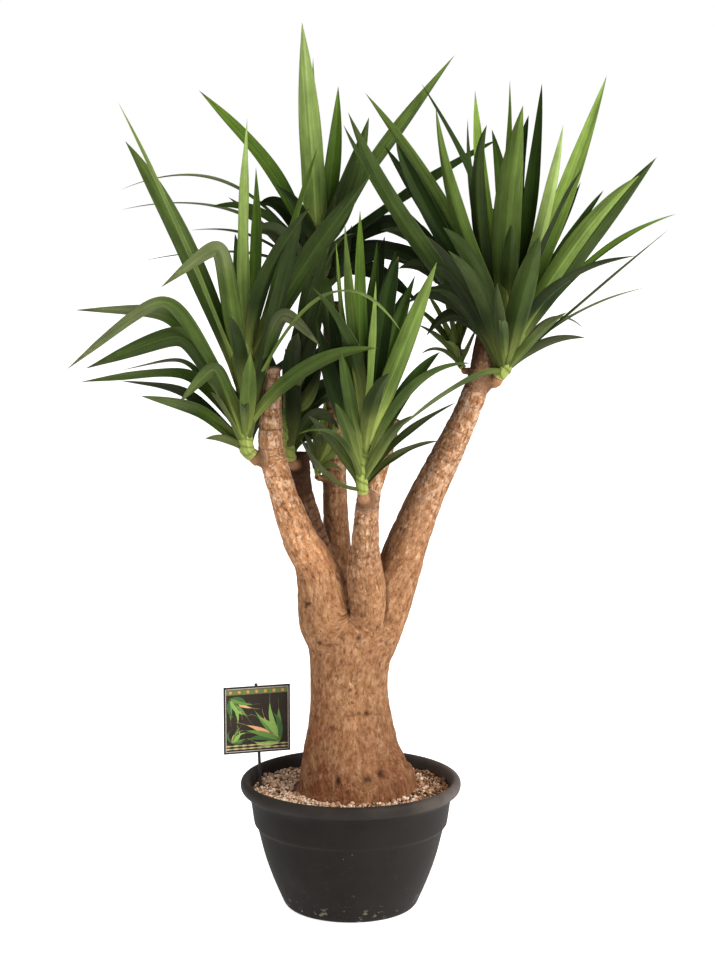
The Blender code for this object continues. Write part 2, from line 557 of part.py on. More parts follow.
def shown_leaf(stem, share, row, shift):
    """A leaf whose outline was read off the plant, its tip moved in depth by shift cm."""
    middle_x, middle_z, tip_x, tip_z, depth, width = row
    depth += shift
    tip = seen(tip_x, tip_z, depth)
    root = leaf_root(stem, share, tip)
    root_depth = root.y / CM
    middle = seen(middle_x, middle_z, (root_depth + depth) / 2)
    length = (root - middle).length + (middle - tip).length
    full = max(width * CM, LEAF_WIDTH[0] * CM + LEAF_WIDTH[1] * length)
    turn = min(math.acos(width * CM / full), EDGE_ON)
    along = (tip - root).normalized()
    to_left = -1.0 if along.x < 0 else 1.0
    upper = Vector((-to_left * along.z, 0.0, to_left * along.x))
    front = Vector((0.0, -1.0 if depth > root_depth else 1.0, 0.0))
    face = upper.normalized() * math.sin(turn) + front * math.cos(turn)
    return {"root": root, "middle": middle, "tip": tip, "face": face, "width": full}


def filling_leaf(stem, share, draw, shift):
    """A leaf that fills the head towards the front or the back, turned about the stem by shift."""
    azimuth, lift, length = draw["azimuth"] + shift, draw["lift"], draw["length"]
    out = Vector((math.cos(azimuth), math.sin(azimuth), 0.0))
    root = leaf_root(stem, share, Vector(stem[-1][:3]) + out)
    rise = lift + FILLING_BOW
    middle = root + length / 2 * (out * math.cos(rise) + Vector((0, 0, math.sin(rise))))
    tip = root + length * (out * math.cos(lift) + Vector((0, 0, math.sin(lift))))
    face = Vector((0, 0, 1)) - out / 2
    return {"root": root, "middle": middle, "tip": tip, "face": face,
            "width": LEAF_WIDTH[0] * CM + LEAF_WIDTH[1] * length + draw["wider"]}


def leaf_root(stem, share, aim):
    """A point in the stem, between its lower quarter and its top, on the side that the leaf leaves by."""
    start = len(stem) // 4
    place = start + share * (len(stem) - 1 - start)
    low = min(int(place), len(stem) - 2)
    row = stem[low] + (stem[low + 1] - stem[low]) * (place - low)
    ahead = stem[low + 1][:3] - stem[low][:3]
    ahead /= np.linalg.norm(ahead)
    out = np.array(aim) - row[:3]
    out -= ahead * out.dot(ahead)
    return Vector(row[:3] + out / np.linalg.norm(out) * row[3] * ROOT_OUT)


def bends(leaf):
    chord = leaf["tip"] - leaf["root"]
    bow = (leaf["middle"] - (leaf["root"] + leaf["tip"]) / 2).length / chord.length
    return STRAIGHT_BENDS if bow < STRAIGHT else CURVED_BENDS


def tree_of(leaf, low):
    """The leaf beyond a share of its length, a little thicker, as built and as the curve it follows."""
    points, faces = [], []
    for tried in (bends(leaf), TRIED_SHARES):
        shares = [low, *(share for share in tried if share > low)]
        more_points, more_faces = blade_mesh(*blade_rings(leaf, shares, CLEARANCE))
        faces += [tuple(corner + len(points) for corner in face) for face in more_faces]
        points += [tuple(point) for point in more_points]
    return BVHTree.FromPolygons(points, faces)


def tree_of_object(obj):
    return BVHTree.FromPolygons([vertex.co for vertex in obj.data.vertices],
                                [polygon.vertices for polygon in obj.data.polygons])


def placed_leaf(make, step, tries, others, kin):
    """The first of a row of tries that is clear of the other pieces, and of its own head's if possible."""
    spare = None
    for number in range(2 * tries + 1):
        shift = step * ((number + 1) // 2) * (1 if number % 2 else -1)
        leaf = make(shift)
        free, whole = tree_of(leaf, FREE_FROM), tree_of(leaf, 0.0)
        if any(whole.overlap(other) for other in others):
            continue
        leaf["trees"] = (whole, free)
        if not any(free.overlap(other) for other in kin):
            return leaf
        spare = spare or leaf
    return spare


def place_leaves(stems, obstacles):
    """Leaves of every head, each clear of the trunk, the pot, the label and the other heads.

    A leaf that finds no such place in all its tries is left out. The leaves behind are placed last, so
    that they take what room the others leave.
    """
    rng = random.Random(SEED)
    lowest, more, chance = FILLING_LIFT
    heads = {name: [] for name in HEADS}
    stem_trees = {name: tree_of_object(obj) for name, obj in stems["objects"].items()}
    for name, head in HEADS.items():
        stem = stems["paths"][name]
        rows = head["leaves"]
        count, short, long = head["more"]
        makers = []
        for index, row in enumerate(rows):
            share = index / (len(rows) - 1)
            makers.append((lambda shift, share=share, row=row: shown_leaf(stem, share, row, shift),
                           DEPTH_STEP, DEPTH_TRIES))
        for index in range(count):
            share = (index + 0.5) / count
            draw = {
                "azimuth": math.radians(90 + 180 * (index % 2) + rng.uniform(-FILLING_TURN, FILLING_TURN)),
                "lift": math.radians(lowest + more * share + rng.uniform(-chance, chance)),
                "length": rng.uniform(short, long),
                "wider": rng.uniform(0.0, FILLING_WIDER),
            }
            makers.append((lambda shift, share=share, draw=draw: filling_leaf(stem, share, draw, shift),
                           TURN_STEP, TURN_TRIES))
        add_leaves(name, makers, heads, stem_trees, obstacles)
    for name, head in HEADS.items():
        stem, rows, makers = stems["paths"][name], head.get("behind", ()), []
        for index, row in enumerate(rows):
            share = (index + 0.5) / len(rows)
            makers.append((lambda shift, share=share, row=row: shown_leaf(stem, share, row, shift),
                           DEPTH_STEP, DEPTH_TRIES))
        add_leaves(name, makers, heads, stem_trees, obstacles)
    return heads


def add_leaves(name, makers, heads, stem_trees, obstacles):
    """Places each leaf that finds room, clear of the obstacles, the other stems and the other heads."""
    others = [*obstacles, *(tree for other, tree in stem_trees.items() if other != name)]
    others += [leaf["trees"][0] for other, leaves in heads.items() if other != name for leaf in leaves]
    for make, step, tries in makers:
        leaf = placed_leaf(make, step, tries, others, [kin["trees"][1] for kin in heads[name]])
        if leaf:
            heads[name].append(leaf)


def make_head(stem, leaves):
    parts = helper_collection("blades")
    for leaf in leaves:
        mesh_object("blade", *blade_mesh(*blade_rings(leaf, bends(leaf))), parts)
    boolean(stem, parts, "UNION")
    fill_pockets(stem)
    paint(stem, "leaf", 0.45)


def main():
    clear_scene()
    paths = {name: limb_path(head["stem"]) for name, head in HEADS.items()}
    objects = {name: tube(name, path, STEM_SIDES) for name, path in paths.items()}
    stems = {"paths": paths, "objects": objects}
    fixed = [make_trunk(paths), make_pot(), make_soil(), *make_label()]
    heads = place_leaves(stems, [tree_of_object(obj) for obj in fixed])
    for name, leaves in heads.items():
        make_head(objects[name], leaves)


main()
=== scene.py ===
"""Looks of the potted yucca: channelled leaves, barked canes, crumbly potting mix, the pot and the card.

Metres, +Z up, the front towards -Y. Tables are in centimetres: their x and z are as seen from the front at
the plant's middle, and each point moves along the line of sight to its own depth.
"""

import json
import math
import random

import bpy
import numpy as np
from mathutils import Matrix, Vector
from mathutils.kdtree import KDTree

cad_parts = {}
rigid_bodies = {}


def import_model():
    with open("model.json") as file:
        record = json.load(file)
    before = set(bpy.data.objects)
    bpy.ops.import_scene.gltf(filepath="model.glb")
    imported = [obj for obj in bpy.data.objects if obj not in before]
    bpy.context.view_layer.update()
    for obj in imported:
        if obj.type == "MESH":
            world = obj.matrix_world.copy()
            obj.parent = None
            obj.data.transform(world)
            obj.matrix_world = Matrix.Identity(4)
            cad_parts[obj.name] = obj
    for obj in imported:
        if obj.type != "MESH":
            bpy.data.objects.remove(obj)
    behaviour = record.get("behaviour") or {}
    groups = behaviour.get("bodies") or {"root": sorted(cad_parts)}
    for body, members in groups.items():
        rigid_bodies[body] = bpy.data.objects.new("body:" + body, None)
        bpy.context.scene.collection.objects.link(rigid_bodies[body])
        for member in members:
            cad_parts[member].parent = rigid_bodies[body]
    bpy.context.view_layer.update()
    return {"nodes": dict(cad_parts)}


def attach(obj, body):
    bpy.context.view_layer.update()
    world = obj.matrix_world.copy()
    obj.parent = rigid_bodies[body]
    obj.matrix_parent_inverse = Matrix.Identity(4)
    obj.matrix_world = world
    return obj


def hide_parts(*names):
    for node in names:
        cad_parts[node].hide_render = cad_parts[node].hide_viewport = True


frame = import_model()

CM = 0.01
EYE = Vector((0.011, -3.5, 1.208))  # where the plant is looked at from
EYE_DOWN = math.radians(8.26)  # how far the camera looks down
EYE_LENS = 83.06  # mm, on a 36 mm tall sensor

# Canes and trunk: (x, z, depth, radius) along each limb, cm.
SOIL_TOP = 19.3  # cm
TRUNK = ((0.8, 12.0, 0.0, 9.9), (0.8, 19.5, 0.0, 9.9), (0.45, 22.3, 0.0, 8.9), (0.1, 25.4, 0.0, 8.05),
         (0.0, 28.2, 0.0, 7.4), (-0.1, 31.2, 0.0, 6.75), (-0.25, 34.4, 0.0, 6.35), (-0.3, 37.7, 0.0, 6.25),
         (-0.2, 41.3, 0.0, 6.5), (0.1, 44.2, 0.2, 6.9), (0.2, 46.6, 0.6, 6.6), (0.3, 49.0, 1.2, 4.9),
         (0.3, 51.2, 1.8, 2.6))
CANES = {
    "left": ((-2.0, 41.0, -1.0, 2.8), (-3.5, 45.6, -1.8, 4.3), (-4.2, 49.6, -2.6, 4.25),
             (-5.0, 53.7, -3.5, 3.75), (-6.1, 57.0, -3.8, 3.2), (-8.0, 60.3, -4.0, 2.8),
             (-10.4, 66.8, -4.0, 2.3), (-12.6, 74.8, -4.0, 2.05), (-12.6, 82.8, -4.0, 1.75),
             (-12.5, 88.1, -4.0, 1.45)),
    "second_left": ((-2.8, 50.0, 2.5, 2.4), (-5.0, 58.6, 4.5, 2.0), (-6.5, 63.5, 5.0, 1.85),
                    (-7.8, 68.4, 5.0, 1.75), (-8.2, 74.4, 5.0, 1.6)),
    "back": ((-0.8, 48.0, 4.0, 2.8), (-1.7, 54.6, 6.5, 2.3), (-2.1, 60.3, 8.0, 2.1), (-2.5, 68.0, 9.0, 2.0),
             (-2.6, 82.8, 9.0, 1.85), (-2.8, 98.4, 9.0, 1.6)),
    "front": ((2.2, 42.0, -2.2, 2.6), (2.8, 48.0, -3.9, 2.9), (2.6, 51.6, -4.7, 3.05),
              (2.2, 55.2, -5.7, 2.9), (2.4, 60.3, -7.2, 2.15), (2.8, 66.8, -8.0, 1.85),
              (4.1, 71.6, -8.0, 1.75), (6.0, 78.0, -8.0, 1.55), (6.6, 80.0, -8.0, 1.45)),
    "right": ((2.6, 40.0, 0.0, 2.6), (4.6, 47.0, -0.8, 4.2), (8.1, 57.0, -0.6, 3.5), (11.9, 66.8, 0.0, 2.85),
              (14.9, 73.2, 0.0, 2.5), (17.9, 79.6, 0.0, 2.2), (20.4, 86.0, 0.0, 2.0), (21.1, 90.0, 0.0, 1.85),
              (21.6, 94.0, 0.0, 1.6)),
}
# The share of a cane's length where its ring scars start.
RING_SCARS_FROM = {"left": 0.45, "second_left": 0.3, "back": 0.4, "front": 0.4, "right": 0.5}
RING_GAPS = (0.008, 0.024)  # metres from one ring scar to the next, at least and at most
RING_WIDTH = 0.0016  # metres that a ring scar reaches to either side
KNOTS = ((1.2, 44.2, 0.45, 0.55), (-2.2, 20.4, 0.5, 0.95), (2.6, 20.6, 0.8, 0.75), (4.9, 21.5, 0.55, 0.9),
         (-5.0, 43.4, 0.35, 0.4), (4.4, 45.9, 0.35, 0.4), (-6.9, 49.8, 0.5, 0.4), (2.6, 31.8, 0.25, 0.35),
         (-0.1, 35.6, 0.3, 0.3))  # (x, z, half width, half height) on the trunk's front, cm
TRUNK_RINGS = (43.4, 31.3)  # heights of the faint rings round the trunk, as seen from the front, cm
CANE_SHADE = {  # painted shade on each cane, where below 0 is painted light, and how much more painted shade on its left side, away from the key light
    "left": (-0.42, 0.14), "second_left": (0.7, 0.2), "back": (0.25, 0.4), "front": (0.0, 0.12),
    "right": (-0.06, 0.62),
}
SHADED_ENDS = {"left": 0.17}  # metres below its tip where a cane turns dark with painted shade from the leaves above
SHADED_END = 0.09  # the same for the other canes
LIMB_STEP = 0.003  # metres between two points of a limb's middle line
BARK_GRID = 0.0027  # metres between the points of the bark
CANE_FILLET = 0.0014  # metres: how softly two canes meet
TRUNK_FILLET = 0.0055  # metres: how softly the canes leave the trunk
BUD_FILLET = 0.002  # metres: how softly the buds leave the wood

# Leaves, as the solids have them, with a tone from 0, old and dark, to 1, young and pale. Low tones on the
# leaves behind the others and deep in a head also stand for painted shade.
LEAF_WIDTH = (1.0, 0.05)  # cm, and how much wider for each unit of the leaf's length
LEAF_BASE = 0.45  # width at the base, as a share of the greatest
LEAF_WIDEST = 0.42  # where a leaf is widest, as a share of its length
LEAF_TAPER = 2.2  # how late it narrows to its tip
LEAF_CHANNEL = 0.23  # depth of its channel, as a share of its width
LEAF_THICK = 0.17  # cm at the root
EDGE_ON = math.radians(78)  # how far a leaf may turn its edge to the front
ROOT_OUT = 0.4  # how far out in the stem a leaf starts, as a share of the radius there
DEPTH_STEP = 1.5  # cm between the depths tried for a leaf's tip
DEPTH_TRIES = 16  # to either side
TURN_STEP = math.radians(6)  # between the turns tried for a filling leaf
TURN_TRIES = 6  # to either side
FILLING_TURN = 35  # degrees that it turns away from the front or the back at most
FILLING_LIFT = (5, 60, 8)  # degrees above level at the foot, how many more at the top, and those by chance
FILLING_WIDER = 0.01  # metres at most
FILLING_BOW = math.radians(16)  # how much steeper its lower half rises
SEED = 7  # of the draws for the leaves that fill the heads
SAME_PLACE = 0.0003  # metres between a leaf's tip here and in the solid

# A bud is (x, z, depth, radius), and a stem is rows of the same. A leaf is (middle x, middle z, tip x, tip z,
# tip depth, width, tone). They run from the lowest to the highest, then come those that the others hide.
# The last entry is how many leaves fill the head, and their least and greatest length in metres.
HEADS = {
    "head_left": {
        "bud": (-12.9, 74.2, -4.0, 1.3),
        "stem": ((-15.5, 73.9, -4.2, 1.0), (-16.5, 74.9, -4.4, 1.15), (-16.8, 78.0, -4.5, 1.2),
                 (-16.6, 83.0, -4.5, 1.3), (-16.4, 90.0, -4.5, 0.8)),
        "leaves": (
            (-20.0, 76.6, -23.2, 76.6, -7, 1.3, 0.2), (-23.9, 81.0, -33.4, 83.5, 2, 2.1, 0.42),
            (-26.3, 84.0, -36.6, 85.9, 8, 1.3, 0.2), (-20.4, 82.0, -22.2, 84.1, -9, 0.9, 0.3),
            (-21.5, 87.6, -27.4, 82.2, -11, 2.6, 0.42), (-16.2, 84.6, -15.9, 90.5, -13, 2.6, 0.52),
            (-26.0, 86.9, -42.9, 85.7, 5, 1.5, 0.42), (-26.2, 88.9, -36.6, 87.5, 12, 1.2, 0.3),
            (-7.0, 88.0, 4.3, 91.1, -17, 2.4, 0.42), (-26.6, 92.8, -42.1, 87.8, -6, 3.2, 0.34),
            (-29.0, 98.3, -45.1, 87.6, -12, 1.9, 0.5), (-28.5, 96.0, -43.7, 97.1, 3, 2.2, 0.42),
            (-11.0, 96.0, -4.8, 91.4, -14, 2.6, 0.4), (-4.0, 99.6, 8.1, 93.6, -9, 0.9, 0.6),
            (-20.6, 106.4, -30.0, 100.6, -12, 3.0, 0.54), (-26.3, 107.8, -35.2, 123.5, -5, 3.3, 0.46),
            (-27.4, 111.0, -36.2, 129.5, -7, 1.0, 0.8), (-15.0, 104.0, -14.8, 119.5, 4, 2.2, 0.42),
            (-10.6, 106.0, -5.1, 122.6, 0, 1.1, 0.5), (-7.4, 104.0, 3.5, 118.7, -3, 3.7, 0.3),
            (-16.9, 107.0, -16.1, 127.0, -9, 1.8, 0.85),
        ),
        "behind": (
            (-10.3, 103.4, -7.9, 112.0, 8, 2.4, 0.15), (-11.9, 98.7, -9.2, 107.3, 6, 2.4, 0.18),
        ),
        "more": (6, 0.2, 0.34),
    },
    "head_front": {
        "bud": (2.7, 66.6, -8.0, 1.3),
        "stem": ((2.0, 67.9, -10.8, 0.85), (1.8, 70.0, -11.4, 0.95), (2.1, 75.0, -11.4, 1.0),
                 (2.4, 80.5, -11.2, 0.7)),
        "leaves": (
            (-3.4, 70.6, -8.1, 76.7, -15, 0.9, 0.15), (7.6, 74.2, 14.2, 76.3, -6, 1.0, 0.2),
            (-2.6, 76.0, -6.8, 80.4, -12, 1.7, 0.3), (8.0, 76.9, 16.9, 82.5, -8, 1.0, 0.25),
            (6.2, 77.2, 9.9, 80.4, -18, 1.7, 0.35), (-0.4, 77.6, -2.5, 82.4, -17, 2.0, 0.4),
            (9.4, 84.6, 19.2, 88.7, -13, 1.6, 0.4), (8.2, 83.6, 14.2, 90.5, -9, 2.3, 0.2),
            (-0.2, 83.4, -1.7, 90.8, -19, 2.0, 0.4), (-2.6, 85.0, -5.4, 95.5, -8, 2.8, 0.15),
            (-1.2, 87.0, -3.4, 99.0, -4, 2.6, 0.15), (-0.6, 91.0, -2.3, 108.1, -8, 1.1, 0.6),
            (3.2, 88.5, 4.0, 101.8, -17, 1.0, 0.68), (8.0, 90.4, 13.6, 104.7, -16, 3.0, 0.68),
            (6.0, 90.5, 10.2, 102.6, -6, 2.4, 0.3), (5.4, 91.0, 8.9, 100.4, 2, 2.7, 0.15),
            (4.6, 94.0, 7.2, 106.6, 0, 2.7, 0.15), (3.2, 92.6, 4.2, 108.1, -5, 2.2, 0.3),
            (0.3, 94.2, -0.9, 110.9, -12, 1.8, 0.6), (1.6, 95.8, 1.5, 112.8, -9, 2.2, 0.42),
        ),
        "behind": (
            (5.1, 94.0, 7.6, 105.6, 4, 2.8, 0.15), (6.2, 90.8, 9.5, 98.7, 3, 2.6, 0.2),
            (3.4, 95.9, 5.4, 108.7, 6, 2.8, 0.12),
        ),
        "more": (6, 0.18, 0.3),
    },
    "head_right": {
        "bud": (20.6, 85.8, -0.2, 1.4),
        "stem": ((23.4, 86.6, -1.4, 1.0), (24.5, 88.2, -2.0, 1.15), (24.8, 91.6, -2.2, 1.15),
                 (24.9, 97.0, -2.0, 0.8)),
        "leaves": (
            (30.4, 91.8, 37.2, 92.7, -4, 1.5, 0.15), (17.4, 85.6, 7.9, 78.4, -15, 1.1, 0.4),
            (31.0, 95.4, 36.8, 94.2, 3, 0.9, 0.2), (30.0, 93.8, 34.2, 96.8, -10, 1.7, 0.4),
            (34.8, 96.2, 46.7, 100.7, 8, 0.8, 0.4), (29.9, 96.6, 34.7, 102.0, 11, 1.0, 0.25),
            (37.4, 99.2, 49.9, 109.7, 4, 0.8, 0.45), (23.6, 95.2, 23.1, 101.4, -15, 1.9, 0.3),
            (20.0, 100.4, 15.3, 106.5, -18, 2.4, 0.27), (17.6, 96.2, 12.0, 93.0, 10, 2.4, 0.1),
            (16.2, 98.8, 9.0, 98.2, 6, 2.7, 0.1), (27.2, 100.0, 29.8, 108.9, -17, 3.7, 0.38),
            (15.4, 102.0, 7.5, 103.6, 1, 3.0, 0.1), (20.2, 102.6, 14.5, 110.1, -14, 3.0, 0.27),
            (14.0, 105.4, 4.6, 109.6, 5, 2.8, 0.1), (38.0, 105.0, 51.2, 112.2, 9, 1.4, 0.5),
            (37.0, 107.4, 47.9, 121.0, -5, 3.0, 0.3), (35.4, 107.8, 45.3, 118.2, -8, 2.7, 0.68),
            (33.0, 106.0, 39.7, 115.9, 8, 1.6, 0.25), (31.4, 106.6, 36.1, 117.2, 12, 1.4, 0.2),
            (30.6, 108.6, 36.4, 119.5, -13, 1.0, 0.2), (10.2, 108.6, -0.4, 128.0, -7, 2.7, 0.38),
            (9.0, 110.0, -1.1, 126.0, 1, 1.5, 0.33), (14.2, 109.6, 5.2, 122.9, 5, 2.4, 0.15),
            (32.8, 113.0, 39.9, 133.6, 0, 3.0, 0.75), (29.8, 109.4, 33.2, 126.0, -8, 2.4, 0.9),
            (28.0, 113.0, 29.8, 132.4, 5, 2.1, 0.3), (24.6, 111.6, 26.9, 129.0, -9, 4.5, 0.48),
            (14.8, 113.4, 2.3, 130.9, -3, 1.9, 0.5), (21.0, 113.6, 11.0, 132.4, 6, 1.7, 0.25),
            (17.4, 111.0, 13.3, 128.7, -4, 2.4, 0.5), (20.0, 110.0, 18.3, 127.0, 8, 1.4, 0.3),
            (21.2, 113.0, 19.4, 131.3, -2, 2.4, 0.65), (24.8, 114.0, 24.8, 132.9, 10, 1.4, 0.5),
        ),
        "behind": (
            (17.9, 98.2, 12.4, 100.1, 4, 2.6, 0.15), (17.4, 100.9, 13.0, 103.7, 7, 2.4, 0.12),
            (20.2, 112.5, 21.3, 126.0, 10, 2.4, 0.3), (25.8, 114.0, 27.8, 127.5, 12, 2.6, 0.15),
            (12.8, 111.9, 7.1, 123.5, 6, 2.8, 0.22), (15.0, 110.3, 11.0, 119.8, 9, 2.8, 0.15),
            (11.9, 108.0, 5.6, 115.6, 10, 2.6, 0.12),
        ),
        "more": (7, 0.2, 0.34),
    },
    "head_right_small": {
        "bud": (20.6, 87.2, 0.6, 0.8),
        "stem": ((17.9, 87.9, 2.4, 0.5), (17.3, 88.7, 2.7, 0.55), (16.9, 90.0, 2.8, 0.5),
                 (16.7, 91.6, 2.8, 0.35)),
        "leaves": (
            (14.4, 90.9, 11.2, 90.2, 1, 0.7, 0.35), (18.6, 91.4, 19.8, 94.0, 1, 0.8, 0.35),
            (14.2, 92.6, 10.6, 94.8, 0, 0.9, 0.35), (16.2, 91.6, 16.1, 94.4, -1, 1.0, 0.4),
            (13.9, 94.4, 10.2, 97.6, 3, 0.9, 0.4), (14.6, 95.6, 11.8, 100.2, 4, 0.9, 0.45),
            (17.2, 94.8, 18.3, 99.6, 6, 1.0, 0.4), (15.8, 96.4, 14.2, 102.0, 4, 1.0, 0.5),
        ),
        "more": (3, 0.06, 0.1),
    },
    "head_back_top": {
        "bud": (-2.9, 96.6, 9.0, 1.4),
        "stem": ((-4.5, 99.1, 9.0, 1.0), (-5.0, 100.6, 9.0, 1.15), (-5.2, 104.0, 9.0, 1.2),
                 (-5.2, 110.0, 9.0, 0.8)),
        "leaves": (
            (-2.4, 95.2, 0.2, 90.2, 6, 2.8, 0.15), (-15.0, 106.0, -33.0, 104.8, 24, 0.7, 0.4),
            (-14.0, 108.2, -25.3, 109.6, 20, 0.9, 0.35), (-13.0, 109.6, -19.2, 114.8, 18, 0.9, 0.35),
            (-11.0, 109.0, -15.5, 108.6, 5, 2.8, 0.2), (-4.2, 99.6, -2.4, 88.3, -5, 3.0, 0.3),
            (-6.6, 99.0, -8.6, 89.6, -4, 2.8, 0.25), (-18.0, 112.6, -36.1, 112.8, 22, 0.7, 0.45),
            (-12.6, 111.6, -22.0, 113.3, 14, 1.4, 0.25), (4.0, 106.5, 12.0, 106.0, 12, 2.6, 0.1),
            (-19.0, 117.0, -36.1, 115.9, 18, 0.8, 0.45), (-10.0, 112.6, -14.6, 113.4, 12, 2.6, 0.2),
            (3.5, 103.4, 10.5, 98.5, 11, 2.7, 0.1), (5.0, 110.6, 13.0, 108.6, 16, 2.8, 0.1),
            (6.4, 106.4, 14.5, 100.5, 15, 3.0, 0.1), (12.0, 117.4, 23.0, 123.7, 16, 1.7, 0.2),
            (-12.8, 119.8, -23.6, 131.3, 11, 2.2, 0.48), (-1.0, 114.4, 2.9, 127.2, 3, 3.7, 0.3),
            (4.4, 121.4, 16.2, 136.7, 7, 2.2, 0.47), (-2.9, 118.6, -1.9, 132.0, 12, 2.7, 0.43),
            (-5.7, 120.8, -5.8, 136.4, 9, 1.4, 0.5), (-6.2, 124.0, -7.5, 141.7, 5, 3.7, 0.88),
        ),
        "behind": (
            (5.6, 106.5, 13.6, 101.1, 10, 2.6, 0.12), (-4.3, 105.8, -2.3, 115.1, 4, 3.0, 0.15),
            (-6.2, 104.7, -7.9, 113.6, 5, 2.8, 0.15), (-2.4, 103.7, 0.2, 110.5, 6, 2.8, 0.12),
        ),
        "more": (5, 0.16, 0.22),
    },
    "head_back_low": {
        "bud": (-2.5, 70.0, 9.0, 0.9),
        "stem": ((-5.2, 70.9, 7.4, 0.5), (-5.3, 71.9, 7.0, 0.55), (-4.9, 73.2, 6.6, 0.5),
                 (-4.5, 74.8, 6.4, 0.35)),
        "leaves": (
            (-3.2, 72.4, -1.2, 71.4, 4, 1.1, 0.5), (-6.2, 75.2, -7.4, 77.6, 5, 1.2, 0.4),
            (-2.8, 74.4, -0.6, 76.4, 4, 1.3, 0.55), (-5.4, 76.8, -6.2, 81.0, 6, 1.4, 0.6),
            (-3.8, 75.8, -2.6, 79.2, 3, 1.9, 0.5), (-3.2, 76.4, -1.8, 80.0, 5, 1.4, 0.6),
            (-4.4, 78.0, -4.0, 83.0, 6, 1.5, 0.65),
        ),
        "more": (3, 0.06, 0.11),
    },
    "head_second_left": {
        "bud": (-8.4, 72.4, 5.0, 1.2),
        "stem": ((-9.4, 73.3, 2.6, 0.8), (-9.8, 75.0, 2.1, 0.95), (-9.9, 80.0, 2.2, 1.0),
                 (-9.6, 87.0, 2.6, 0.7)),
        "leaves": (
            (-6.9, 77.4, -1.5, 76.0, 5, 2.2, 0.15), (-5.6, 80.4, -1.8, 78.0, 3, 2.2, 0.15),
            (-5.4, 83.0, -0.2, 82.0, 5, 2.6, 0.15), (-12.6, 84.4, -15.4, 84.0, 12, 2.4, 0.15),
            (-4.8, 84.6, 0.4, 84.8, 10, 2.6, 0.12), (-5.6, 88.8, -0.6, 92.0, 8, 2.8, 0.12),
            (-15.4, 92.4, -22.0, 94.4, 12, 2.2, 0.2), (-6.6, 92.0, -4.4, 100.0, 3, 2.8, 0.2),
            (-7.2, 95.6, -3.4, 107.0, 3, 2.8, 0.2), (-8.9, 97.0, -7.6, 108.6, 1, 2.6, 0.25),
        ),
        "behind": (
            (-9.1, 83.6, -10.4, 91.1, -2, 2.6, 0.15), (-7.2, 82.8, -4.5, 88.6, -1, 2.4, 0.12),
        ),
        "more": (5, 0.18, 0.3),
    },
}
FOLDED = {  # how sharply a leaf folds over at its middle, where 1 is an even bow
    "head_left": {1: 3.0, 2: 3.0, 4: 6.0, 5: 1.5, 6: 4.0, 7: 4.0, 9: 6.0, 10: 5.0, 11: 5.0, 12: 4.0, 14: 7.0},
    "head_front": {4: 1.8, 9: 1.5},
    "head_right": {3: 1.8, 8: 1.6},
    "head_back_top": {9: 2.0, 12: 2.5, 16: 2.2},
}
FILLING_TONES = (0.12, 0.3)  # of leaves that fill a head, at the foot and at the top of its stem, kept dark as painted shade between the other leaves
AGED_AND_SHEEN = {  # how grey a leaf is past its middle, partly with age and partly as painted sheen where light glances off it; else the lowest ones a little
    "head_left": {2: 0.6, 6: 0.4, 7: 0.8, 8: 0.0, 9: 0.0, 10: 1.0, 11: 1.0, 12: 0.7, 13: 0.4, 14: 0.7},
    "head_back_top": {1: 1.0, 2: 0.8, 5: 0.0, 6: 0.0, 7: 1.0, 10: 1.0},
    "head_right": {4: 0.9, 6: 0.7},
}
HEARTS = {  # how far the pale green bases reach, and how much painted shade darkens the leaves low down in the heart of the head
    "head_left": (1.0, 0.9), "head_front": (1.0, 1.25), "head_right": (0.8, 1.7),
    "head_right_small": (0.4, 1.0), "head_back_top": (0.15, 1.1), "head_back_low": (0.4, 1.0),
    "head_second_left": (0.4, 1.1),
}
SLIMMER = {  # leaves that show edge-on, narrower than their solids
    "head_left": {7: 0.6, 13: 0.4, 16: 0.5}, "head_right": {2: 0.6, 4: 0.4, 6: 0.4, 15: 0.7},
    "head_back_top": {1: 0.4, 2: 0.5, 7: 0.45, 10: 0.45},
}


def seen(x, z, depth):
    """The point that shows at (x, z) of the plant's middle when it is this far behind it, all in cm."""
    flat = Vector((x, 0.0, z)) * CM
    return EYE + (flat - EYE) * (1.0 - depth * CM / EYE.y)


def as_seen(points):
    """Where points show at the plant's middle, looked at from the front: x and z in cm."""
    eye = np.array(EYE)
    flat = eye + (points - eye) * (-eye[1] / (points[:, 1] - eye[1]))[:, None]
    return flat[:, 0] / CM, flat[:, 2] / CM


def lattice_value(cells, seed):
    """A fixed value from 0 to 1 for every whole-numbered cell: the cell's numbers mixed by multiplying and
    folding bits together."""
    bits = (cells[..., 0] * 73856093) ^ (cells[..., 1] * 19349663) ^ (cells[..., 2] * 83492791)
    bits = bits ^ (seed * 2654435)
    bits = (bits ^ (bits >> 13)) * 1274126177 & 0x7FFFFFFF
    return ((bits ^ (bits >> 16)) & 0xFFFF) / 65535.0


def soft_noise(places, seed):
    """Smooth noise from -1 to 1: the eight corner values of each place's cell, eased and blended."""
    low = np.floor(places).astype(np.int64)
    part = places - low
    ease = part * part * (3 - 2 * part)
    total = np.zeros(places.shape[:-1])
    for corner in np.ndindex(2, 2, 2):
        share = np.prod(np.where(np.array(corner) == 1, ease, 1 - ease), axis=-1)
        total += share * lattice_value(low + np.array(corner), seed)
    return 2 * total - 1


def smooth_step(values, low, high):
    """0 below low, 1 above high, eased between them."""
    share = np.clip((values - low) / (high - low), 0, 1)
    return share * share * (3 - 2 * share)


def hump(values, wide):
    """1 at zero, falling off on both sides as exp(-(v / wide)^2)."""
    return np.exp(-((values / wide) ** 2))


def unit(rows):
    """Vectors made one long."""
    return rows / np.linalg.norm(rows, axis=-1, keepdims=True)


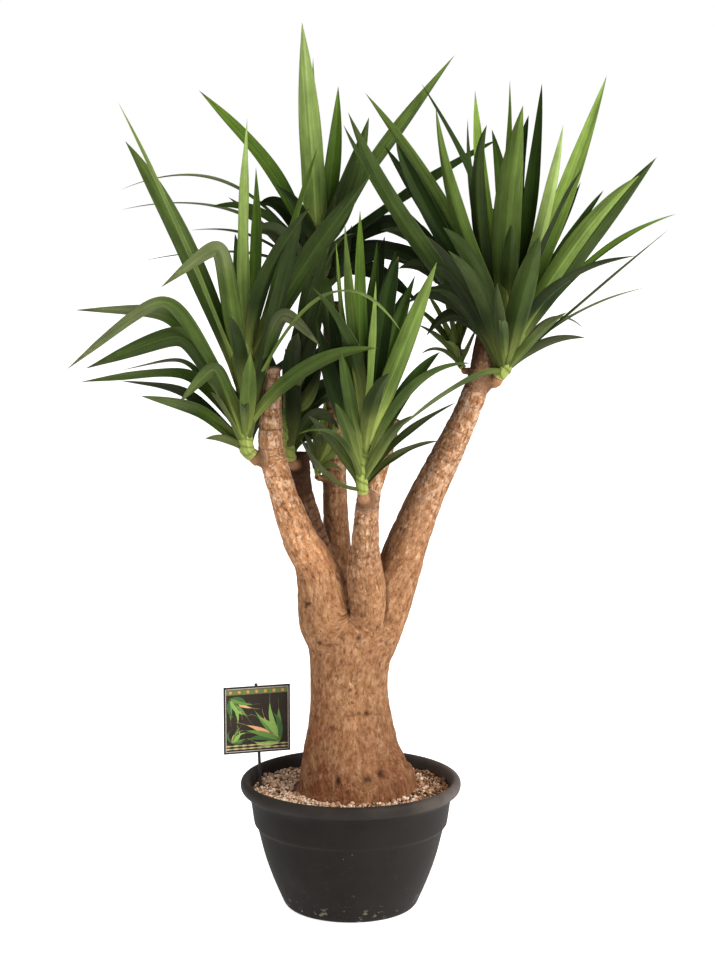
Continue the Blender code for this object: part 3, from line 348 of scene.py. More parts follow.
def rounded_path(points, steps):
    """A smooth curve through (x, y, z, radius) rows: each stretch is the cubic that runs parallel to its
    neighbours' chords at both ends, read at this many steps."""
    rows = np.array(points, float)
    rows = np.vstack([2 * rows[0] - rows[1], rows, 2 * rows[-1] - rows[-2]])
    share = np.arange(steps)[None, :, None] / steps
    a, b, c, d = (rows[None, start:len(rows) - 3 + start].transpose(1, 0, 2) for start in range(4))
    curve = 0.5 * (2 * b + (c - a) * share + (2 * a - 5 * b + 4 * c - d) * share**2
                   + (3 * b - a - 3 * c + d) * share**3)
    return np.vstack([curve.reshape(-1, 4), rows[-2]])


def limb_path(rows, steps=12):
    """The smooth middle line of a table's (x, z, depth, radius) rows."""
    return rounded_path([(*seen(x, z, depth), radius * CM) for x, z, depth, radius in rows], steps)


def lengths_along(path):
    """How long the path is up to each of its rows."""
    return np.concatenate([[0], np.cumsum(np.linalg.norm(np.diff(path[:, :3], axis=0), axis=1))])


def even_path(path, step):
    """The path read again at even steps of its length, with the length so far as a fifth column."""
    lengths = lengths_along(path)
    at = np.linspace(0, lengths[-1], max(4, int(lengths[-1] / step)) + 1)
    return np.stack([*(np.interp(at, lengths, path[:, column]) for column in range(4)), at], axis=1)


def ring_frames(path, reference):
    """Three unit vectors at every row: ahead, across = ahead x reference, and up = ahead x across."""
    ahead = unit(np.gradient(path[:, :3], axis=0))
    across = unit(np.cross(ahead, reference))
    return ahead, across, np.cross(ahead, across)


def ring_rays(across, up, sides):
    """The turns round a ring, and the unit vectors out of the path at each of them, for every row."""
    turns = 2 * math.pi * np.arange(sides) / sides
    return turns, np.cos(turns)[:, None] * across[:, None] + np.sin(turns)[:, None] * up[:, None]


def ring_quads(rings, sides):
    """Corner numbers of the quads between neighbouring closed rings."""
    ring, side = np.meshgrid(np.arange(rings - 1), np.arange(sides), indexing="ij")
    low, after = ring * sides, (side + 1) % sides
    quads = np.stack([low + side, low + after, low + sides + after, low + sides + side], axis=-1)
    return quads.reshape(-1, 4)


def cap_fan(ring_start, sides, middle, outward):
    """Triangles from a ring to one middle point, facing along the path if outward."""
    side = np.arange(sides)
    first, second = ring_start + side, ring_start + (side + 1) % sides
    fan = [first, second, np.full(sides, middle)]
    return np.stack(fan if outward else [fan[1], fan[0], fan[2]], axis=-1)


def read_numbers(parts, name, count, kind):
    """One field of a mesh's points or edges, with a row for each."""
    values = np.empty(len(parts) * count, dtype=kind)
    parts.foreach_get(name, values)
    return values.reshape(-1, count)


def give_values(mesh, name, values):
    """Three numbers for every point of the mesh, which the materials read by this name."""
    layer = mesh.attributes.new(name, "FLOAT_VECTOR", "POINT")
    layer.data.foreach_set("vector", values.astype(np.float32).ravel())


def place_piece(name, mesh, look, slot, *replaced):
    """The mesh as a smooth piece of the plant, in place of the solids that it replaces."""
    mesh.polygons.foreach_set("use_smooth", [True] * len(mesh.polygons))
    mesh.materials.clear()
    mesh.materials.append(look)
    mesh.update()
    piece = bpy.data.objects.new(name, mesh)
    bpy.context.scene.collection.objects.link(piece)
    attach(piece, "root")
    if replaced:
        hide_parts(*replaced)
    return piece


class Surface:
    """Gathers grids of points, faces and values for each point, and puts them into one mesh."""

    def __init__(self):
        self.points, self.quads, self.triangles, self.values, self.count = [], [], [], {}, 0

    def add(self, points, quads=None, triangles=None, **values):
        if quads is not None:
            self.quads.append(quads + self.count)
        if triangles is not None:
            self.triangles.append(triangles + self.count)
        self.points.append(points)
        for name, value in values.items():
            self.values.setdefault(name, []).append(value)
        self.count += len(points)

    def add_rings(self, grid, start, end, **values):
        """Closed rings of points, shut by a point at each end. The ends' values come after the rings'."""
        rings, sides, _ = grid.shape
        number = rings * sides
        fans = [cap_fan(0, sides, number, False), cap_fan(number - sides, sides, number + 1, True)]
        points = np.vstack([grid.reshape(-1, 3), start, end])
        self.add(points, ring_quads(rings, sides), np.vstack(fans), **values)

    def mesh(self, name):
        faces = [face for group in (self.quads, self.triangles) for block in group for face in block.tolist()]
        mesh = bpy.data.meshes.new(name)
        mesh.from_pydata(np.vstack(self.points).tolist(), [], faces)
        for key, blocks in self.values.items():
            give_values(mesh, key, np.concatenate(blocks))
        return mesh


# Materials

TINT_LOW, TINT_HIGH = 0.3, 0.7  # where most patterns of noise reach their darkest and their lightest
BARK_GRAIN = {  # how fine each pattern is across and along a limb, per metre, its detail and roughness
    "fibres": (215.0, 120.0, 5.0, 0.62), "blotches": (95.0, 60.0, 3.0, 0.55),
    "slits": (185.0, 95.0, 4.0, 0.6), "patches": (34.0, 20.0, 4.0, 0.6), "rings": (22.0, 230.0, 3.0, 0.5),
    "flakes": (200.0, 130.0, 3.0, 0.55), "scales": (120.0, 70.0, 2.0, 0.5), "fine": (700.0, 300.0, 2.0, 0.5),
}
BARK_TANS = ((0.35, (0.22, 0.098, 0.04)), (0.46, (0.37, 0.182, 0.082)), (0.55, (0.47, 0.25, 0.122)),
             (0.68, (0.62, 0.375, 0.212)))
# The second brightens the tan as painted light on the lit canes.
BARK_RED, BARK_PAINTED_LIGHT = (0.62, 0.42, 0.35), (2.1, 1.9, 1.7)  # the tan is multiplied by these
PALE_FLAKE, PALE_SCALE, BUD_TAN = (0.86, 0.6, 0.41), (0.8, 0.58, 0.42), (0.4, 0.22, 0.11)
SLIT_DARK, CRACK_DARK, RING_DARK = (0.13, 0.05, 0.02), (0.17, 0.07, 0.03), (0.17, 0.075, 0.035)
# Knots, ring scars, cut ends and painted shade take this colour.
MARK_AND_SHADE_DARK = (0.045, 0.017, 0.008)
# The third is painted light on the pot's right side.
POT_DARK, POT_BLACK, POT_LIT_RIGHT = (0.0085, 0.0064, 0.005), (0.0145, 0.011, 0.0088), (0.023, 0.018, 0.0152)
POT_DUST, POT_SPECK, POT_CHIP = (0.17, 0.14, 0.11), (0.36, 0.3, 0.24), (0.24, 0.2, 0.15)
# The rim's colour: partly dust, partly a painted highlight.
POT_RIM_DUST_AND_HIGHLIGHT = (0.14, 0.115, 0.1)
RIM_LOW, RIM_HIGH = 0.187, 0.196  # metres above the floor


def new_look(name, roughness, specular):
    look = bpy.data.materials.new(name)
    look.use_nodes = True
    shader = look.node_tree.nodes["Principled BSDF"]
    shader.inputs["Roughness"].default_value = roughness
    shader.inputs["Specular IOR Level"].default_value = specular
    return look, look.node_tree, shader


def node(tree, kind, settings=None, **inputs):
    """A shader node with its settings, and its inputs given as numbers, colours or other nodes' outputs."""
    made = tree.nodes.new(kind)
    for key, value in (settings or {}).items():
        setattr(made, key, value)
    for key, value in inputs.items():
        socket = made.inputs[int(key[1:])] if key[1:].isdigit() else made.inputs[key.replace("_", " ")]
        if isinstance(value, bpy.types.NodeSocket):
            tree.links.new(value, socket)
        else:
            socket.default_value = value
    return made


def attribute(tree, name):
    return node(tree, "ShaderNodeAttribute", {"attribute_name": name}).outputs["Vector"]


def object_place(tree):
    return node(tree, "ShaderNodeTexCoord").outputs["Object"]


def parts_of(tree, vector):
    return node(tree, "ShaderNodeSeparateXYZ", None, Vector=vector).outputs


def times(tree, first, second):
    return node(tree, "ShaderNodeMath", {"operation": "MULTIPLY"}, i0=first, i1=second).outputs[0]


def plus(tree, first, second):
    return node(tree, "ShaderNodeMath", {"operation": "ADD"}, i0=first, i1=second).outputs[0]


def ranged(tree, value, low, high, first, last):
    """first where the value is low, last where it is high, and even between them."""
    return node(tree, "ShaderNodeMapRange", None, Value=value, From_Min=low, From_Max=high, To_Min=first,
                To_Max=last).outputs[0]


def noise(tree, vector, scale, detail, rough):
    """Noise from 0 to 1. Three scales in place of one draw it out along the axes."""
    if isinstance(scale, tuple):
        stretch = node(tree, "ShaderNodeMapping", {"vector_type": "POINT"}, Vector=vector, Scale=scale)
        vector, scale = stretch.outputs[0], 1.0
    return node(tree, "ShaderNodeTexNoise", None, Vector=vector, Scale=scale, Detail=detail,
                Roughness=rough).outputs["Fac"]


def ramp(tree, value, *stops):
    """A colour ramp with (position, colour) stops. A plain number is a shade of grey."""
    made = node(tree, "ShaderNodeValToRGB", None, Fac=value)
    elements = made.color_ramp.elements
    while len(elements) < len(stops):
        elements.new(0.5)
    for element, (place, colour) in zip(elements, stops):
        element.position = place
        element.color = (colour,) * 3 + (1,) if isinstance(colour, (int, float)) else (*colour, 1)
    return made.outputs["Color"]


def mixed(tree, share, first, second, blend="MIX"):
    made = node(tree, "ShaderNodeMix", {"data_type": "RGBA", "blend_type": blend, "clamp_factor": True})
    for index, value in ((0, share), (6, first), (7, second)):
        socket = made.inputs[index]
        if isinstance(value, bpy.types.NodeSocket):
            tree.links.new(value, socket)
        elif index:
            socket.default_value = (*value, 1.0)
        else:
            socket.default_value = value
    return made.outputs[2]


def tinted(tree, colour, other):
    """The two colours multiplied."""
    return mixed(tree, 1.0, colour, other, "MULTIPLY")


def coloured(tree, shader, colour):
    tree.links.new(colour, shader.inputs["Base Color"])


def bumped(tree, shader, height, distance, strength):
    made = node(tree, "ShaderNodeBump", None, Height=height, Distance=distance, Strength=strength)
    tree.links.new(made.outputs["Normal"], shader.inputs["Normal"])


def leaf_look():
    """Green that follows each leaf's tint, with fine veins, mottling and broader streaks along the blade."""
    look, tree, shader = new_look("leaf", 0.55, 0.1)
    place = attribute(tree, "blade")
    veins = noise(tree, place, (900.0, 8.0, 1.0), 2.0, 0.5)
    mottle = noise(tree, place, (60.0, 22.0, 1.0), 3.0, 0.6)
    streaks = noise(tree, place, (300.0, 5.0, 1.0), 2.0, 0.5)
    colour = attribute(tree, "tint")
    for pattern, low, high in ((veins, (TINT_LOW, 0.84), (TINT_HIGH, 1.14)),
                               (mottle, (TINT_LOW, 0.78), (0.75, 1.22)),
                               (streaks, (0.32, 0.82), (0.68, 1.22))):
        colour = tinted(tree, colour, ramp(tree, pattern, low, high))
    coloured(tree, shader, colour)
    bumped(tree, shader, veins, 0.0004, 0.5)
    return look


def bark_look():
    """Tan bark: pale flakes between dark slits, both drawn out along each cane, redder on the left and low
    down, with broken dark rings and pale scales on the upper canes. Dark knots, ring scars and cut ends come
    with painted shade in the creases and on the shaded canes, their left sides and tips, and painted light on
    the lit canes."""
    look, tree, shader = new_look("bark", 0.85, 0.15)
    place = attribute(tree, "bark")
    # Redness, dark marks with painted shade, and how high up the canes.
    red, dark_marks_and_shade, upper = parts_of(tree, attribute(tree, "bark_red_shade_height"))
    # Slits, buds, and painted light on the lit canes.
    crack, bud, painted_light = parts_of(tree, attribute(tree, "slits_buds_painted_light"))
    grain = {name: noise(tree, place, (wide, wide, tall), detail, rough)
             for name, (wide, tall, detail, rough) in BARK_GRAIN.items()}
    both = plus(tree, times(tree, grain["fibres"], 0.5), times(tree, grain["blotches"], 0.5))
    base = ramp(tree, both, *BARK_TANS)
    redness = times(tree, plus(tree, red, 0.1), ramp(tree, grain["patches"], (0.35, 0.3), (0.65, 1.0)))
    base = mixed(tree, redness, base, tinted(tree, base, BARK_RED))
    flakes = ramp(tree, grain["flakes"], (0.56, 0.0), (0.68, 1.0))
    base = mixed(tree, times(tree, flakes, plus(tree, times(tree, upper, 0.6), 0.22)), base, PALE_FLAKE)
    scales = ramp(tree, grain["scales"], (0.52, 0.0), (0.6, 1.0))
    base = mixed(tree, times(tree, scales, times(tree, upper, 0.5)), base, PALE_SCALE)
    # Painted light on the canes that are lit.
    base = mixed(tree, painted_light, base, tinted(tree, base, BARK_PAINTED_LIGHT))
    slits = ramp(tree, grain["slits"], (0.36, 1.0), (0.45, 0.0))
    base = mixed(tree, times(tree, slits, 0.72), base, SLIT_DARK)
    base = mixed(tree, times(tree, crack, 0.35), base, CRACK_DARK)
    rings = ramp(tree, grain["rings"], (0.33, 1.0), (0.4, 0.0))
    base = mixed(tree, times(tree, rings, times(tree, upper, 0.7)), base, RING_DARK)
    base = mixed(tree, times(tree, bud, 0.6), base, BUD_TAN)
    base = tinted(tree, base, ramp(tree, grain["fine"], (TINT_LOW, 0.86), (TINT_HIGH, 1.12)))
    # Dark marks and painted shade.
    coloured(tree, shader, mixed(tree, dark_marks_and_shade, base, MARK_AND_SHADE_DARK))
    height = plus(tree, times(tree, grain["fibres"], 0.7), times(tree, grain["slits"], 0.7))
    bumped(tree, shader, plus(tree, height, times(tree, grain["fine"], 0.15)), 0.004, 0.9)
    return look


def pot_look():
    """Matt black plastic with painted light on its right side, and a paler rim, partly dust and partly a
    painted highlight that is strongest on the right, with faint mottling, fine lines round the wall, dust and
    specks, and pale chips near the foot."""
    look, tree, shader = new_look("pot", 0.6, 0.15)
    place = object_place(tree)
    right, _, height = parts_of(tree, place)
    mottle = noise(tree, place, 22.0, 5.0, 0.6)
    base = ramp(tree, mottle, (TINT_LOW, POT_DARK), (TINT_HIGH, POT_BLACK))
    # Painted light on the right side, where the key light falls.
    base = mixed(tree, ranged(tree, right, 0.0, 0.15, 0.0, 0.75), base, POT_LIT_RIGHT)
    dust = ramp(tree, noise(tree, place, 90.0, 6.0, 0.7), (0.62, 0.0), (0.78, 0.45))
    base = mixed(tree, times(tree, dust, ramp(tree, height, (0.0, 1.0), (0.16, 0.18))), base, POT_DUST)
    spots = node(tree, "ShaderNodeTexVoronoi", {"feature": "F1"}, Vector=place, Scale=60.0, Randomness=1.0)
    speck = ramp(tree, spots.outputs["Distance"], (0.05, 1.0), (0.1, 0.0))
    speck = times(tree, speck, ramp(tree, noise(tree, place, 13.0, 2.0, 0.5), (0.63, 0.0), (0.67, 1.0)))
    base = mixed(tree, times(tree, speck, 0.7), base, POT_SPECK)
    chip = ramp(tree, noise(tree, place, (70.0, 70.0, 110.0), 3.0, 0.55), (0.6, 0.0), (0.65, 1.0))
    chip = times(tree, chip, ramp(tree, height, (0.012, 1.0), (0.035, 0.0)))
    base = mixed(tree, times(tree, chip, 0.7), base, POT_CHIP)
    # A paler rim: partly dust, partly a painted highlight that grows towards the right.
    rim = ramp(tree, height, (RIM_LOW, 0.0), (RIM_HIGH, 1.0))
    rim = times(tree, rim, ramp(tree, mottle, (TINT_LOW, 0.6), (TINT_HIGH, 1.0)))
    base = mixed(tree, times(tree, rim, ranged(tree, right, 0.09, 0.17, 0.14, 1.0)), base, POT_RIM_DUST_AND_HIGHLIGHT)
    coloured(tree, shader, base)
    bumped(tree, shader, noise(tree, place, (260.0, 260.0, 780.0), 3.0, 0.6), 0.0006, 0.35)
    return look


def soil_look():
    """Crumbs of two shades, mixed by fine noise."""
    look, tree, shader = new_look("soil", 0.95, 0.2)
    crumbs = noise(tree, object_place(tree), 260.0, 5.0, 0.7)
    coloured(tree, shader, ramp(tree, crumbs, (0.35, (0.06, 0.034, 0.02)), (0.68, (0.27, 0.155, 0.09))))
    bumped(tree, shader, crumbs, 0.002, 0.7)
    return look


def grain_look():
    """Loose grains: each takes its own tint, with a mealy surface."""
    look, tree, shader = new_look("grains", 0.9, 0.3)
    meal = noise(tree, object_place(tree), 900.0, 3.0, 0.6)
    shade = ramp(tree, meal, (TINT_LOW, 0.75), (TINT_HIGH, 1.2))
    coloured(tree, shader, tinted(tree, attribute(tree, "tint"), shade))
    bumped(tree, shader, meal, 0.001, 0.5)
    return look


def print_look():
    """Satin print: the tint of each shape on the card, with the faint grain of its stock."""
    look, tree, shader = new_look("print", 0.45, 0.25)
    shade = ramp(tree, noise(tree, object_place(tree), 400.0, 2.0, 0.5), (TINT_LOW, 0.9), (TINT_HIGH, 1.08))
    coloured(tree, shader, tinted(tree, attribute(tree, "tint"), shade))
    return look


def mottled_look(name, specular, scale, dark, light):
    """One dark colour, faintly mottled."""
    look, tree, shader = new_look(name, 0.5, specular)
    pattern = noise(tree, object_place(tree), scale, 3.0, 0.5)
    coloured(tree, shader, ramp(tree, pattern, (TINT_LOW, dark), (TINT_HIGH, light)))
    return look


# Trunk and canes

TRUNK_SIDES, CANE_SIDES, BUD_SIDES = 110, 48, 28
TRUNK_FROM, BUDS_FROM = 0.12, 3.0  # metres: where the bark's pattern starts along the trunk and along a bud
BUD_REFERENCE = (0.31, 0.2, 0.93)  # a direction that no bud runs along
OVERRUN = 8  # steps that a limb's middle line goes on past a cut end
RAGGED = (0.0012, 0.006)  # metres that a cut is uneven, and how broad its unevenness is
REACH = 0.004  # metres that a point of the skin moves at most in one pass


def trunk_path():
    """The trunk's middle line, upright where its foot stands in the soil."""
    rows = [(*seen(x, z, depth), radius * CM) for x, z, depth, radius in TRUNK]
    rows[:2] = [(rows[0][0], 0.0, *row[2:]) for row in rows[:2]]
    return rounded_path(rows, 12)


def new_limb(path, base, cut_start=False, cut_end=False, reference=(0.0, 1.0, 0.0)):
    """A limb's middle line at even steps, drawn on past an end that is cut off flat, with its frames."""
    line = even_path(path, LIMB_STEP)
    ends = []
    for wanted, end, before, sign in ((cut_start, 0, 1, -1), (cut_end, -1, -2, 1)):
        if wanted:
            ahead = unit(line[end, :3] - line[before, :3])
            ends.append((line[end, :3].copy(), ahead))
            further = np.arange(1, OVERRUN + 1)[:, None] * LIMB_STEP
            radius = np.full((OVERRUN, 1), line[end, 3])
            rows = np.hstack([line[end, :3] + further * ahead, radius, line[end, 4] + sign * further])
            line = np.vstack([rows[::-1], line]) if sign < 0 else np.vstack([line, rows])
    ahead, across, up = ring_frames(line, reference)
    return {"line": line, "ahead": ahead, "across": across, "up": up, "ends": ends, "base": base,
            "slope": np.gradient(line[:, 3]) / LIMB_STEP, "total": lengths_along(path)[-1]}


def nearest_rows(points, limb):
    """Which point of the limb's middle line each point is nearest to."""
    line = limb["line"][:, :3]
    blocks = np.array_split(points, len(points) // 4000 + 1)
    return np.concatenate([np.argmin((line**2).sum(1) - 2 * block @ line.T, axis=1) for block in blocks])


def beside_limb(points, limb, row):
    """How far each point lies outside a limb, the unit vector away from it, its place in the limb's own
    frame, which is across, up and along, and how far it lies past a cut. The distance is that to the middle
    line less the radius there, and past a cut end the distance to the cut, which is a little ragged."""
    line = limb["line"][row]
    offset = points - line[:, :3]
    along = np.clip((offset * limb["ahead"][row]).sum(1), -LIMB_STEP, LIMB_STEP)
    from_line = offset - along[:, None] * limb["ahead"][row]
    reach = np.linalg.norm(from_line, axis=1) + 1e-9
    distance = reach - line[:, 3] - limb["slope"][row] * along
    away = from_line / reach[:, None]
    cut = np.full(len(points), -1.0)
    for place, ahead in limb["ends"]:
        beyond = (points - place) @ ahead + RAGGED[0] * soft_noise(points / RAGGED[1], 77)
        cut = np.maximum(cut, beyond)
        past = beyond > distance
        distance = np.where(past, beyond, distance)
        away = np.where(past[:, None], ahead, away)
    place = np.stack([(from_line * limb["across"][row]).sum(1), (from_line * limb["up"][row]).sum(1),
                      line[:, 4] + along + limb["base"]], axis=1)
    return distance, away, place, cut


def soft_least(distances, width):
    """The soft minimum -w log(sum exp(-d / w)) of a stack of distances, and the share each one has in it."""
    least = distances.min(axis=0)
    parts = np.exp(-(distances - least) / width)
    total = parts.sum(axis=0)
    return least - width * np.log(total), parts / total


def wood_field(points, limbs, rows):
    """How far points lie outside the wood, the way out of it, every limb's share there, and each limb's
    distances, places and cuts. Canes meet each other sharply, and the trunk and the buds softly."""
    found = [beside_limb(points, limb, row) for limb, row in zip(limbs, rows)]
    distance, away, place, cut = (np.stack(part) for part in zip(*found))
    canes, buds = slice(1, 1 + len(CANES)), slice(1 + len(CANES), None)
    all_canes, cane_share = soft_least(distance[canes], CANE_FILLET)
    all_buds, bud_share = soft_least(distance[buds], CANE_FILLET)
    wood, wood_share = soft_least(np.stack([distance[0], all_canes]), TRUNK_FILLET)
    whole, whole_share = soft_least(np.stack([wood, all_buds]), BUD_FILLET)
    share = np.concatenate([wood_share[:1] * whole_share[0], cane_share * wood_share[1] * whole_share[0],
                            bud_share * whole_share[1]])
    out = (share[..., None] * away).sum(axis=0)
    return whole, out / (np.linalg.norm(out, axis=1)[:, None] + 1e-9), share, distance, place, cut


def make_limbs(stems):
    """The trunk, the canes and the buds, and how many sides the first tube round each has."""
    limbs, sides = [new_limb(trunk_path(), TRUNK_FROM, cut_start=True)], [TRUNK_SIDES]
    for rows in CANES.values():
        path = limb_path(rows)
        limbs.append(new_limb(path, path[0, 2], cut_end=True))
        sides.append(CANE_SIDES)
    for name, head in HEADS.items():
        x, z, depth, radius = head["bud"]
        start = stems[name][0]
        forward = unit(stems[name][1][:3] - start[:3])
        end = start[:3] - forward * 0.0003
        neck = end - forward * start[3]
        rows = [(*seen(x, z, depth), radius * CM), (*neck, start[3] * 1.1), (*end, start[3] * 0.98)]
        limbs.append(new_limb(rounded_path(rows, 10), BUDS_FROM, cut_end=True, reference=BUD_REFERENCE))
        sides.append(BUD_SIDES)
    return limbs, sides


def tube_mesh(limbs, sides):
    """Plain closed tubes round all the limbs, run together into one even mesh by a voxel remesh."""
    surface = Surface()
    for limb, number in zip(limbs, sides):
        length = limb["line"][:, 4]
        drawn = np.flatnonzero((length > -1e-6) & (length < limb["total"] + 1e-6))
        line = limb["line"][drawn]
        _, rays = ring_rays(limb["across"][drawn], limb["up"][drawn], number)
        surface.add_rings(line[:, None, :3] + line[:, None, 3:4] * rays, line[0, :3], line[-1, :3])
    mesh = surface.mesh("wood")
    rough = bpy.data.objects.new("wood", mesh)
    bpy.context.scene.collection.objects.link(rough)
    voxels = rough.modifiers.new("voxels", "REMESH")
    voxels.mode, voxels.voxel_size = "VOXEL", BARK_GRID
    done = bpy.data.meshes.new_from_object(rough.evaluated_get(bpy.context.evaluated_depsgraph_get()))
    bpy.data.objects.remove(rough, do_unlink=True)
    bpy.data.meshes.remove(mesh)
    return done


def evened(points, edges, share):
    """Every point moved part of the way to the mean of its neighbours."""
    both = np.concatenate([edges, edges[:, ::-1]])
    number = np.bincount(both[:, 0], minlength=len(points))[:, None]
    mean = np.stack([np.bincount(both[:, 0], weights=points[both[:, 1], axis], minlength=len(points))
                     for axis in range(3)], axis=1) / number
    return points + share * (mean - points)


def bark_relief(place, age):
    """Metres that the bark stands out: broad swells, and flakes drawn out along the limb between sunken
    slits. place is across, up and along in metres."""
    swell = soft_noise(place / (0.045, 0.045, 0.07), 11) * 0.0011
    slits = (1 - np.abs(soft_noise(place / (0.0085, 0.0085, 0.024), 12))) ** 5
    flakes = soft_noise(place / (0.0055, 0.0055, 0.011), 13)
    return swell + age * (0.00055 * flakes - 0.0012 * slits), slits


def cane_marks(limbs, place, out, share, pattern):
    """On the canes: the ring scars, how high up a point lies, how near to the tip, and the painted shade,
    which below zero is painted light.
    """
    rings, upper, tip, shade = np.zeros((4, len(out)))
    wander = 0.003 * soft_noise(pattern / (0.02, 0.02, 0.3), 14)
    rng = np.random.default_rng(17)
    for index, name in enumerate(CANES):
        total = limbs[1 + index]["total"]
        along = place[1 + index][:, 2] - limbs[1 + index]["base"]
        scars, reach = np.zeros(len(out)), RING_SCARS_FROM[name] * total
        while reach < total - RING_GAPS[0]:
            scars += rng.uniform(0.5, 1.0) * hump(along + wander - reach, RING_WIDTH)
            reach += rng.uniform(*RING_GAPS)
        # Painted shade for each cane, or painted light below zero, and more painted shade on its left side,
        # away from the key light.
        plain, more = CANE_SHADE[name]
        if plain < 0:
            plain = plain * smooth_step(along / total, 0.2, 0.45)
        # Painted shade near the tip, where the leaves above shade it.
        near_end = SHADED_ENDS.get(name, SHADED_END)
        dark = plain + more * smooth_step(-out[:, 0], -0.2, 0.9)
        dark = dark + 0.6 * smooth_step(along, total - near_end, total - near_end / 3)
        for marks, values in ((rings, scars), (upper, smooth_step(along / total, 0.25, 0.7)),
                              (tip, smooth_step(along, total - 0.03, total)), (shade, dark)):
            marks += share[index] * values
    return rings, upper, tip, shade


def trunk_marks(points, shown_x, shown_z):
    """The knots on the trunk's front: how dark they are, and how far their lips stand out and they sink."""
    knots, relief = np.zeros((2, len(points)))
    front = smooth_step(-points[:, 1], 0.01, 0.03) * smooth_step(0.6 - points[:, 2], 0.0, 0.01)
    for x, z, wide, high in KNOTS:
        far_off = np.hypot((shown_x - x) / wide, (shown_z - z) / high)
        knots += front * hump(far_off, 0.85)
        relief += front * (0.0012 * hump(far_off - 1.6, 0.5) - 0.0035 * hump(far_off, 0.8))
    return knots, relief


def make_trunk(stems):
    """Trunk, canes and buds as one skin: an even mesh moved on to where the soft minimum of the distances to
    all limbs is zero, then raised and sunk by the bark's relief."""
    limbs, sides = make_limbs(stems)
    mesh = tube_mesh(limbs, sides)
    points = read_numbers(mesh.vertices, "co", 3, float)
    edges = read_numbers(mesh.edges, "vertices", 2, np.int32)
    rows = [nearest_rows(points, limb) for limb in limbs]
    for _ in range(4):
        points = evened(evened(points, edges, 0.5), edges, 0.5)
        for _ in range(2):
            far, out, *_ = wood_field(points, limbs, rows)
            points = points - np.clip(far, -REACH, REACH)[:, None] * out
    rows = [nearest_rows(points, limb) for limb in limbs]
    _, out, share, distance, place, cut = wood_field(points, limbs, rows)

    canes = slice(1, 1 + len(CANES))
    pattern = (share[..., None] * place).sum(axis=0)
    trunk_share, cane_share, bud_share = share[0], share[canes], share[1 + len(CANES):].sum(axis=0)
    shown_x, shown_z = as_seen(points)
    nearest, second = np.sort(distance[canes], axis=0)[:2]
    # Painted shade, and a shallow groove, where two canes meet.
    crease_groove_and_shade = hump(second - nearest, 0.0022) * smooth_step(distance[0], 0.001, 0.006)
    crease_groove_and_shade *= smooth_step(shown_z, 45.5, 49.0)
    rings, upper, tip, shade = cane_marks(limbs, place, out, cane_share, pattern)
    wander = 0.35 * np.sin(pattern[:, 0] / 0.02)
    for height in TRUNK_RINGS:
        rings += 0.6 * trunk_share * hump(shown_z + wander - height, 0.2)
    rings *= smooth_step(soft_noise(pattern / (0.014, 0.014, 0.03), 15), -0.35, 0.25)
    rings = np.clip(rings, 0, 1)
    knots, knot_relief = trunk_marks(points, shown_x, shown_z)
    relief, slits = bark_relief(pattern, 1 - 0.85 * bud_share)
    turn = np.arctan2(points[:, 1], points[:, 0] - 0.004)
    lobes = np.cos(5 * turn + 1.4) * 0.0022 * smooth_step(points[:, 2], 0.3, 0.2) * trunk_share
    relief += knot_relief + lobes - 0.0022 * crease_groove_and_shade - 0.001 * rings
    end_cut = (cane_share * smooth_step(cut[canes], -0.0022, -0.0006)).sum(axis=0)
    relief *= 1 - end_cut
    points = points + relief[:, None] * out

    low = smooth_step(points[:, 2], 0.36, 0.2)
    left = np.clip(-out[:, 0], 0, 1) * trunk_share
    red = np.clip(0.15 + 0.8 * low + 0.4 * left + 0.6 * tip + 0.7 * bud_share, 0, 1)
    # Painted shade on the trunk's right side, to tone down the key light there; also a little darker all over
    # and low down.
    shade += trunk_share * (0.03 + 0.17 * smooth_step(out[:, 0], 0.0, 0.7) + 0.08 * low)
    # Dark marks: painted shade in the creases, knots, ring scars, cut ends, and each limb's painted shade.
    dark = np.clip(0.9 * crease_groove_and_shade + 0.85 * knots + 0.6 * rings + 0.5 * end_cut + shade, 0, 0.95)
    mesh.vertices.foreach_set("co", points.ravel())
    give_values(mesh, "bark", pattern)
    # Redness, dark marks with painted shade, and how high up the canes; then slits, buds and painted light.
    give_values(mesh, "bark_red_shade_height", np.stack([red, dark, upper], axis=1))
    give_values(mesh, "slits_buds_painted_light", np.stack([slits, bud_share, np.clip(-shade, 0, 1)], axis=1))
    place_piece("trunk_bark", mesh, bark_look(), "bark", "trunk")


# Leaves

TONE_STOPS = np.array([0.0, 0.15, 0.3, 0.45, 0.6, 0.75, 0.9, 1.0])
TONE_COLOURS = np.array([
    (0.006, 0.012, 0.002), (0.0105, 0.0225, 0.0032), (0.024, 0.05, 0.0052), (0.054, 0.103, 0.0105),
    (0.104, 0.178, 0.0195), (0.182, 0.286, 0.045), (0.295, 0.42, 0.097), (0.4, 0.54, 0.165),
])
# The grey of old leaves, which also stands for painted sheen.
OLIVE = np.array((0.2, 0.205, 0.118))
LIME = np.array((0.36, 0.43, 0.1))
DRY = np.array((0.17, 0.1, 0.045))
UNDERSIDE = np.array((0.1, 0.125, 0.045))
EDGE_GREEN = np.array((0.2, 0.22, 0.08))
STEM_YELLOW = np.array((0.42, 0.36, 0.13))
HEART_SHADE = np.array((0.62, 0.52, 0.68))  # painted shade: how much of its colour the heart of a head takes from a leaf
BLADE_ACROSS = np.array([-1, -0.93, -0.66, -0.34, -0.1, 0, 0.1, 0.34, 0.66, 0.93, 1.0])
BLADE_ROWS = 30
BLADE_TWIST = 0.22  # radians that a blade turns about its middle line at most, up to its tip
BLADE_WAVE = 0.0012  # metres that its edges wave
STEM_SIDES = 36
STEM_SHEATH = 0.013  # metres from one leaf base to the next round the stem
HEAD_SEED = 23


